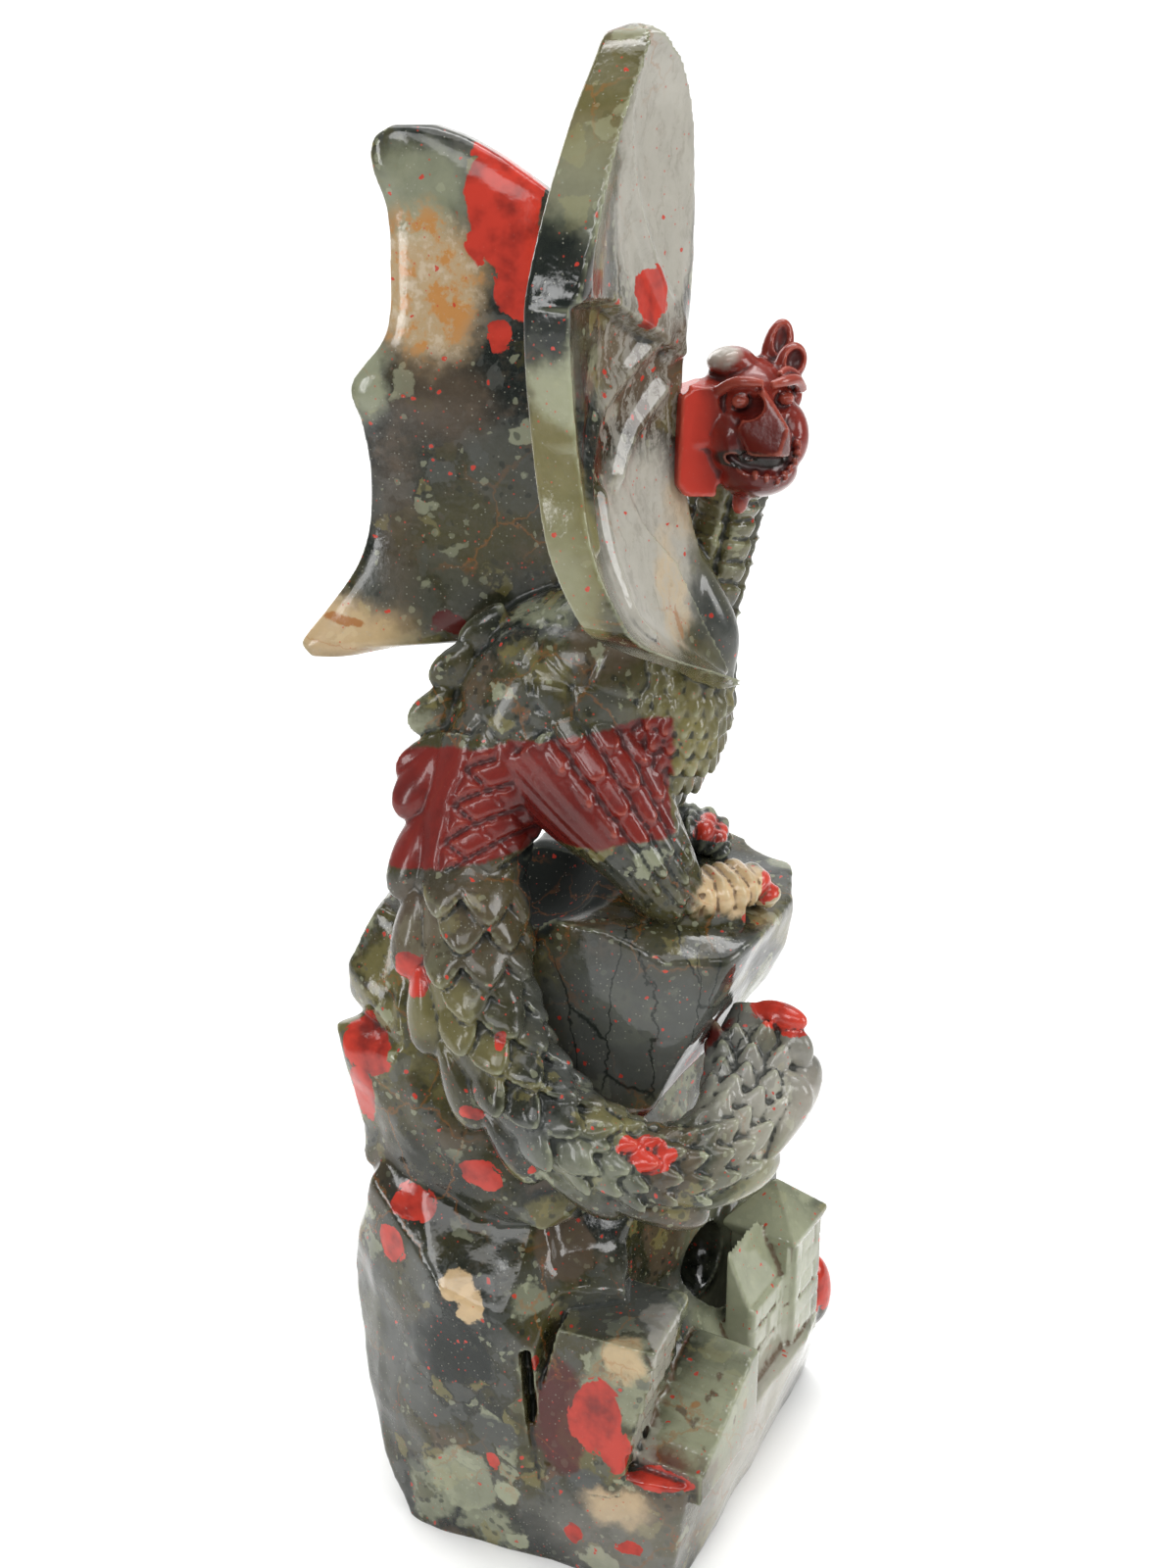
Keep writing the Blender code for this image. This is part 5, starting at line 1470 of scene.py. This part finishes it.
def make_stone():
    material = bpy.data.materials.new("polished_breccia")
    material.use_nodes = True
    tree = material.node_tree
    shader = tree.nodes["Principled BSDF"]
    tints = bpy.context.scene.stone_colours

    def rgba(tint):
        """A named colour, or the socket of one that varies."""
        return (*getattr(tints, tint), 1.0) if isinstance(tint, str) else tint

    def vector(operation, first, second=None, scale=None):
        values = {"_0": first}
        if second is not None:
            values["_1"] = second
        if scale is not None:
            values["Scale"] = scale
        return add_node(tree, "ShaderNodeVectorMath", {"operation": operation}, **values)

    def moved(operation, *values, **scale):
        return vector(operation, *values, **scale).outputs[0]

    def reach(first, centre, radii):
        """Distance from a centre, counted in radii."""
        apart = moved("DIVIDE", moved("SUBTRACT", first, centre), radii)
        return Amount(tree, vector("LENGTH", apart).outputs["Value"])

    def within(first, name, soft):
        return reach(first, *PLACES[name]).below(1.0, soft)

    def off_line(first, start, end):
        """Distance from the straight line between two places."""
        run = Vector(end) - Vector(start)
        apart = moved("SUBTRACT", first, start)
        along = Amount(tree, vector("DOT_PRODUCT", apart, run / run.length_squared).outputs["Value"])
        nearest = moved("SCALE", tuple(run), scale=along.most(0.0).least(1.0))
        return Amount(tree, vector("LENGTH", moved("SUBTRACT", apart, nearest)).outputs["Value"])

    def clouds(first, scale, detail, rough):
        values = {"Vector": first, "Scale": scale, "Detail": detail, "Roughness": rough}
        return add_node(tree, "ShaderNodeTexNoise", None, **values).outputs

    def cloud_amount(*values):
        return Amount(tree, clouds(*values)[0])

    def cells(first, scale, feature="F1"):
        settings = {"feature": feature}
        return add_node(tree, "ShaderNodeTexVoronoi", settings, Vector=first, Scale=scale).outputs

    def borders(first, scale):
        """Distance from the border between cells."""
        return Amount(tree, cells(first, scale, "DISTANCE_TO_EDGE")[0])

    def mix(amount, below, above):
        settings = {"data_type": "RGBA", "clamp_factor": True}
        values = {"_0": amount, "_6": rgba(below), "_7": rgba(above)}
        return add_node(tree, "ShaderNodeMix", settings, **values).outputs[2]

    def ramp(amount, stops):
        """One colour for each step of an amount."""
        node = add_node(tree, "ShaderNodeValToRGB", None, _0=amount)
        steps = node.color_ramp
        steps.interpolation = "CONSTANT"
        while len(steps.elements) < len(stops):
            steps.elements.new(0.5)
        for element, (position, tint) in zip(steps.elements, stops):
            element.position = position
            element.color = rgba(tint)
        return node.outputs[0]

    def attribute(name):
        return Amount(tree, add_node(tree, "ShaderNodeAttribute", {"attribute_name": name}).outputs["Fac"])

    def draw(outputs):
        """The random number of each cell."""
        return Amount(tree, add_node(tree, "ShaderNodeSeparateColor", None, _0=outputs[1]).outputs[0])

    # Object coordinates in millimetres, stirred a little so that no border runs straight
    metres = add_node(tree, "ShaderNodeTexCoord").outputs["Object"]
    place = moved("SCALE", metres, scale=1000.0)
    stir = moved("SUBTRACT", clouds(place, 0.28, 4.0, 0.6)[1], (0.5, 0.5, 0.5))
    stirred = moved("ADD", place, moved("SCALE", stir, scale=STIR))
    gentle = moved("ADD", place, moved("SCALE", stir, scale=GENTLE_STIR))
    apart = add_node(tree, "ShaderNodeSeparateXYZ", None, _0=gentle).outputs
    x, y, z = (Amount(tree, socket) for socket in apart)

    drift = cloud_amount(place, 0.060, 2.0, 0.4)
    cloud = cloud_amount(place, 0.42, 4.0, 0.62)
    grain = cloud_amount(place, 1.9, 5.0, 0.72)
    streak = cloud_amount(moved("MULTIPLY", stirred, (1.0, 1.0, 0.16)), 0.95, 4.0, 0.6)
    red_cloud = cloud_amount(place, 0.30, 3.0, 0.55).between(0.25, 0.6)
    big, middle = cells(stirred, BIG_CLASTS), cells(stirred, MIDDLE_CLASTS)
    small, tiny = cells(gentle, SMALL_CLASTS), cells(place, SPECKS)
    big_draw, middle_draw, small_draw, tiny_draw = (draw(grown) for grown in (big, middle, small, tiny))
    small_far, tiny_far = Amount(tree, small[0]), Amount(tree, tiny[0])

    # Ground: a dark, fine, mossy paste; each later coat is painted over the last one
    coats = [mix(drift.between(0.38, 0.62), "shade", "moss")]

    def paint(amount, tint):
        coats.append(mix(amount, coats[-1], tint))

    paint(grain.between(0.44, 0.74) * 0.42, "slate")
    paint(cloud.between(0.50, 0.72) * 0.35, "umber")
    # Large smoky clasts, then some middling and small ones with sharper borders
    stops = ((0.0, "slate"), (0.48, "umber"), (0.62, "olive"), (0.76, "slate"), (0.92, "celadon"))
    big_gaps = borders(stirred, BIG_CLASTS).between(0.0, 0.16)
    paint(big_draw.between(0.34, 0.35) * big_gaps * (cloud * 0.6 + 0.25), ramp(big_draw, stops))
    stops = ((0.0, "slate"), (0.74, "moss"), (0.80, "slate"), (0.88, "olive"), (0.95, "celadon"))
    gaps = borders(stirred, MIDDLE_CLASTS).between(0.02, 0.12)
    paint(middle_draw.between(0.66, 0.67) * gaps * 0.6, ramp(middle_draw, stops))
    stops = ((0.0, "slate"), (0.86, "celadon"), (0.93, "slate"))
    paint(small_draw.between(0.80, 0.81) * small_far.below(0.42, 0.06) * 0.45, ramp(small_draw, stops))
    paint(small_draw.below(0.20, 0.01) * small_far.below(0.42, 0.12) * 0.6, "shade")

    for centre, radii, tint, strength, soft in STONE_ZONES:
        inside = reach(stirred, centre, radii).below(1.0, soft) * strength
        paint(inside * (cloud * 0.5 + 0.72), tint)

    # Streaks that run up the pale hollow of the near wing, and clouds of rust in the cream
    wing_hollow = within(gentle, "wing_hollow", 0.12)
    paint(wing_hollow * streak.between(0.44, 0.60) * 0.55, "silver")
    paint(wing_hollow * streak.below(0.40, 0.08) * 0.22, "umber")
    cream = within(stirred, "wing_cream", 0.25)
    paint(cream * cloud.between(0.48, 0.60) * 0.85, "amber")
    paint(cream * cloud.below(0.42, 0.06) * 0.7, "sand")

    # Red jasper: stray flecks, angular patches, the band over hip and thigh, and the head, with painted
    # shade under the thigh, on the muzzle and in the mouth
    nearest = None
    for centre, radii in RED_PATCHES.values():
        away = reach(gentle, centre, radii)
        nearest = away if nearest is None else nearest.least(away)
    red = (nearest + (middle_draw - 0.5) * 0.30).below(1.0, 0.03)
    over = (z - x * BAND_TOP[0] - BAND_TOP[1]).below(0.0, 0.25)
    under = (z - x * BAND_FOOT[0] - BAND_FOOT[1]).between(-0.25, 0.25)
    band = over * under * (x + y * BAND_END[0]).below(BAND_END[1], 0.3)
    head_mask = attribute("jasper")
    paint(small_draw.between(0.955, 0.96) * small_far.below(0.26, 0.03) * 0.9, "jasper")
    paint(red, mix(red_cloud * 0.8 + 0.2, "brick", "jasper"))
    paint(band, mix(red_cloud * 0.14, "brick", "jasper"))
    # Painted shade: the band darkens to wine under the thigh
    paint(band * within(place, "thigh_underside", 0.5) * 0.8, "wine")
    face = mix((x + z * 0.25).between(*FACE_TURN), "jasper", "maroon")
    # Painted shade: the muzzle darkens to wine
    face = mix(within(gentle, "muzzle", 0.45) * 0.85, face, "wine")
    paint(head_mask, mix(within(gentle, "tuft", 0.2) * 0.85, face, "silver"))
    # Painted shade: the inside of the mouth
    paint(within(place, "mouth", 0.15) * head_mask * 0.9, "shade")

    for start, end, width, tint, strength in STONE_VEINS:
        paint(off_line(gentle, start, end).below(width, width * 0.3) * strength, tint)
    bastion_side = within(place, "bastion_top", 0.1).most(within(place, "bastion_foot", 0.1))
    paint(bastion_side * (z * 0.40 + y * 0.12).maths("FRACT").below(0.16, 0.05) * 0.85, "course")

    # Specks, rusty veins, and upright cracks in the boulder
    quiet = 1 - (red + band + head_mask).least(1.0) * 0.9
    paint(tiny_draw.between(0.80, 0.81) * tiny_far.below(0.22, 0.05) * 0.42 * quiet, "speck")
    paint(tiny_draw.below(0.045, 0.004) * tiny_far.below(0.30, 0.04) * 0.55 * quiet, "jasper")
    veins = borders(stirred, 0.10).below(0.012, 0.012)
    paint(veins * drift.between(0.48, 0.62) * 0.35 * quiet, "rust")
    cracks = borders(moved("MULTIPLY", gentle, (1.0, 1.0, 0.30)), 0.16).below(0.012, 0.010)
    paint(cracks * within(place, "boulder", 0.1) * 0.85, "shade")

    # Painted light: convex edges are painted paler, as light shining through thin stone; cuts are painted
    # dark as shade, dark red in the red stone, and brown with dirt around the keep
    bend = attribute("bend")
    ridge = bend.between(0.35, 1.6)
    hollow = (bend * -1).between(0.15, 0.9)
    dirty = within(place, "keep", 0.15).most(within(place, "near_foot", 0.15))
    dirty = dirty.most(within(place, "bastion", 0.15))
    paint(ridge * 0.48 * quiet, "celadon")
    paint(ridge * 0.30 * (1 - quiet), "glow")
    paint(hollow * 0.85, mix(band.most(head_mask), mix(dirty, "shade", "earth"), "dregs"))

    recess = within(place, "recess", 0.1)
    dull = attribute("matt") * z.below(DULL_HEIGHT, 4.0).most(head_mask)
    rough = grain * 0.10 + hollow * 0.35 + dull * 0.10 + band * 0.04 + recess * 0.80 + 0.06
    waves = cloud_amount(place, 0.8, 2.0, 0.5) + grain * 0.12
    bump = add_node(tree, "ShaderNodeBump", None, Strength=0.25, Distance=0.0002, Height=waves)
    varied = {
        "Base Color": coats[-1],
        "Roughness": rough.socket,
        "Coat Weight": ((1 - recess) * 0.2).socket,
        "Normal": bump.outputs[0],
    }
    for name, socket in varied.items():
        tree.links.new(socket, shader.inputs[name])
    for name, value in (("IOR", 1.50), ("Specular IOR Level", 0.28), ("Coat Roughness", 0.03)):
        shader.inputs[name].default_value = value
    return material


class STATUE_OT_dragon(bpy.types.Operator):
    """Carve the dragon's wings, neck, body, legs and tail"""

    bl_idname = "statue.dragon"
    bl_label = "Dragon"

    def execute(self, context):
        near = (NEAR_WING_LEVELS, NEAR_WING_RIBS, NEAR_WING_FOLD, NEAR_WING_LIP, Vector((1, -0.4, 0)))
        far = (FAR_WING_LEVELS, FAR_WING_RIBS, FAR_WING_FOLD, (), Vector((0, 1, 0)))
        carved = join("dragon", [*tail(), *body(), wing("near_wing", *near), wing("far_wing", *far)])
        melt(carved, sizes().fine_grid)
        finish_piece(carved, DRAGON_TRIANGLES, matt=1.0)
        return {"FINISHED"}


class STATUE_OT_head(bpy.types.Operator):
    """Carve the dragon's head with its mane, ears, eyes and teeth"""

    bl_idname = "statue.head"
    bl_label = "Head"

    def execute(self, context):
        carved = join("dragon_head", head())
        melt(carved, sizes().face_grid)
        finish_piece(carved, HEAD_TRIANGLES, jasper=1.0, matt=1.0)
        return {"FINISHED"}


class STATUE_OT_cliff(bpy.types.Operator):
    """Carve the cliff, the plinth and the keep that stands on it"""

    bl_idname = "statue.cliff"
    bl_label = "Cliff and keep"

    def execute(self, context):
        rock = join("rock", cliff())
        melt(rock, sizes().fine_grid * 2)
        subtract(rock, rock_hollows())
        roughen_rock(rock.data)
        carved = join("cliff_and_keep", [rock, *keep()])
        melt(carved, sizes().fine_grid)
        finish_piece(carved, CLIFF_TRIANGLES)
        return {"FINISHED"}


# Softboxes: name, place, what each is aimed at, size, power in watts
SOFTBOXES = (
    ("key", (0.52, -0.20, 0.34), (0.0, 0.0, 0.10), (0.26, 0.34), 2.3),
    ("front", (-0.26, -0.42, 0.42), (0.0, 0.0, 0.12), (0.14, 0.24), 0.9),
    ("window", (-0.43, -0.30, 0.17), (-0.008, -0.03, 0.152), (0.08, 0.22), 0.6),
    ("top", (0.05, 0.05, 0.62), (0.0, 0.0, 0.09), (0.40, 0.40), 1.5),
    ("back", (-0.30, 0.42, 0.36), (0.0, 0.0, 0.09), (0.40, 0.40), 1.6),
    ("wall_wash", (0.0, 0.20, 0.95), (0.0, 0.85, 0.30), (0.80, 0.30), 6.0),
    ("floor_wash", (0.0, -0.75, 0.70), (0.0, -0.25, 0.0), (0.60, 0.30), 2.4),
)
CAMERA_PLACE = (-0.0046, -0.2015, 0.171)
CAMERA_DROP = math.radians(21)
CAMERA_LENS = 42.75
# The floor: half its width, where it starts to turn up behind, the radius and steps of that bend
FLOOR_HALF = 3.0
SWEEP_BACK = 0.55
SWEEP_RADIUS = 0.3
SWEEP_STEPS = 12


class STATUE_OT_stage(bpy.types.Operator):
    """Set up the pale floor, the soft lights and the camera"""

    bl_idname = "statue.stage"
    bl_label = "Stage"

    def execute(self, context):
        scene = context.scene
        profile = [(-FLOOR_HALF, 0.0), (SWEEP_BACK, 0.0)]
        for i in range(1, SWEEP_STEPS + 1):
            turn = math.pi / 2 * i / SWEEP_STEPS
            out = SWEEP_BACK + SWEEP_RADIUS * math.sin(turn)
            profile.append((out, SWEEP_RADIUS - SWEEP_RADIUS * math.cos(turn)))
        profile.append((SWEEP_BACK + SWEEP_RADIUS, FLOOR_HALF))

        def build(shape):
            rows = [[shape.verts.new((x, y, z)) for x in (-FLOOR_HALF, FLOOR_HALF)] for y, z in profile]
            for (a, b), (c, d) in zip(rows, rows[1:]):
                shape.faces.new((a, b, d, c))

        floor = mesh_object("studio_floor", build)
        floor.data.shade_smooth()
        paper = bpy.data.materials.new("white_paper")
        paper.use_nodes = True
        tree = paper.node_tree
        shader = tree.nodes["Principled BSDF"]
        place = add_node(tree, "ShaderNodeTexCoord").outputs["Object"]
        fibre = add_node(tree, "ShaderNodeTexNoise", None, Vector=place, Scale=900.0, Detail=3.0)
        height = fibre.outputs[0]
        bump = add_node(tree, "ShaderNodeBump", None, Strength=0.05, Distance=0.0001, Height=height)
        tree.links.new(bump.outputs[0], shader.inputs["Normal"])
        shader.inputs["Base Color"].default_value = (0.93, 0.93, 0.92, 1)
        shader.inputs["Roughness"].default_value = 0.6
        floor.data.materials.append(paper)

        for name, spot, target, size, power in SOFTBOXES:
            light = bpy.data.lights.new(name, "AREA")
            light.shape = "RECTANGLE"
            light.size, light.size_y = size
            light.energy = power
            holder = bpy.data.objects.new(name, light)
            holder.location = spot
            holder.rotation_euler = (Vector(target) - Vector(spot)).to_track_quat("-Z", "Y").to_euler()
            scene.collection.objects.link(holder)
        world = bpy.data.worlds.new("studio")
        world.use_nodes = True
        background = world.node_tree.nodes["Background"]
        background.inputs["Color"].default_value = (0.97, 0.98, 1.0, 1)
        background.inputs["Strength"].default_value = 0.26
        scene.world = world
        scene.view_settings.view_transform = "Standard"

        camera = bpy.data.cameras.new("camera")
        camera.sensor_width = 36
        camera.lens = CAMERA_LENS
        camera.clip_start = 0.01
        holder = bpy.data.objects.new("camera", camera)
        holder.location = CAMERA_PLACE
        holder.rotation_euler = (math.pi / 2 - CAMERA_DROP, 0, 0)
        scene.collection.objects.link(holder)
        scene.camera = holder
        return {"FINISHED"}


OPERATORS = (STATUE_OT_dragon, STATUE_OT_head, STATUE_OT_cliff, STATUE_OT_stage)


class STATUE_PT_panel(bpy.types.Panel):
    """Lists the statue's pieces and its stage"""

    bl_idname = "STATUE_PT_panel"
    bl_label = "Carved dragon"
    bl_space_type = "VIEW_3D"
    bl_region_type = "UI"
    bl_category = "Statue"

    def draw(self, context):
        for operator in OPERATORS:
            self.layout.operator(operator.bl_idname)
        for name in StatueSizes.__annotations__:
            self.layout.prop(context.scene.statue_sizes, name)
        for name in StoneColours.__annotations__:
            self.layout.prop(context.scene.stone_colours, name)


CLASSES = (StatueSizes, StoneColours, *OPERATORS, STATUE_PT_panel)


def register():
    for item in CLASSES:
        bpy.utils.register_class(item)
    bpy.types.Scene.statue_sizes = PointerProperty(type=StatueSizes)
    bpy.types.Scene.stone_colours = PointerProperty(type=StoneColours)


def unregister():
    del bpy.types.Scene.stone_colours
    del bpy.types.Scene.statue_sizes
    for item in reversed(CLASSES):
        bpy.utils.unregister_class(item)


def main():
    register()
    bpy.ops.statue.dragon()
    bpy.ops.statue.head()
    bpy.ops.statue.cliff()
    bpy.ops.statue.stage()
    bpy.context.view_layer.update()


if __name__ == "__main__":
    main()
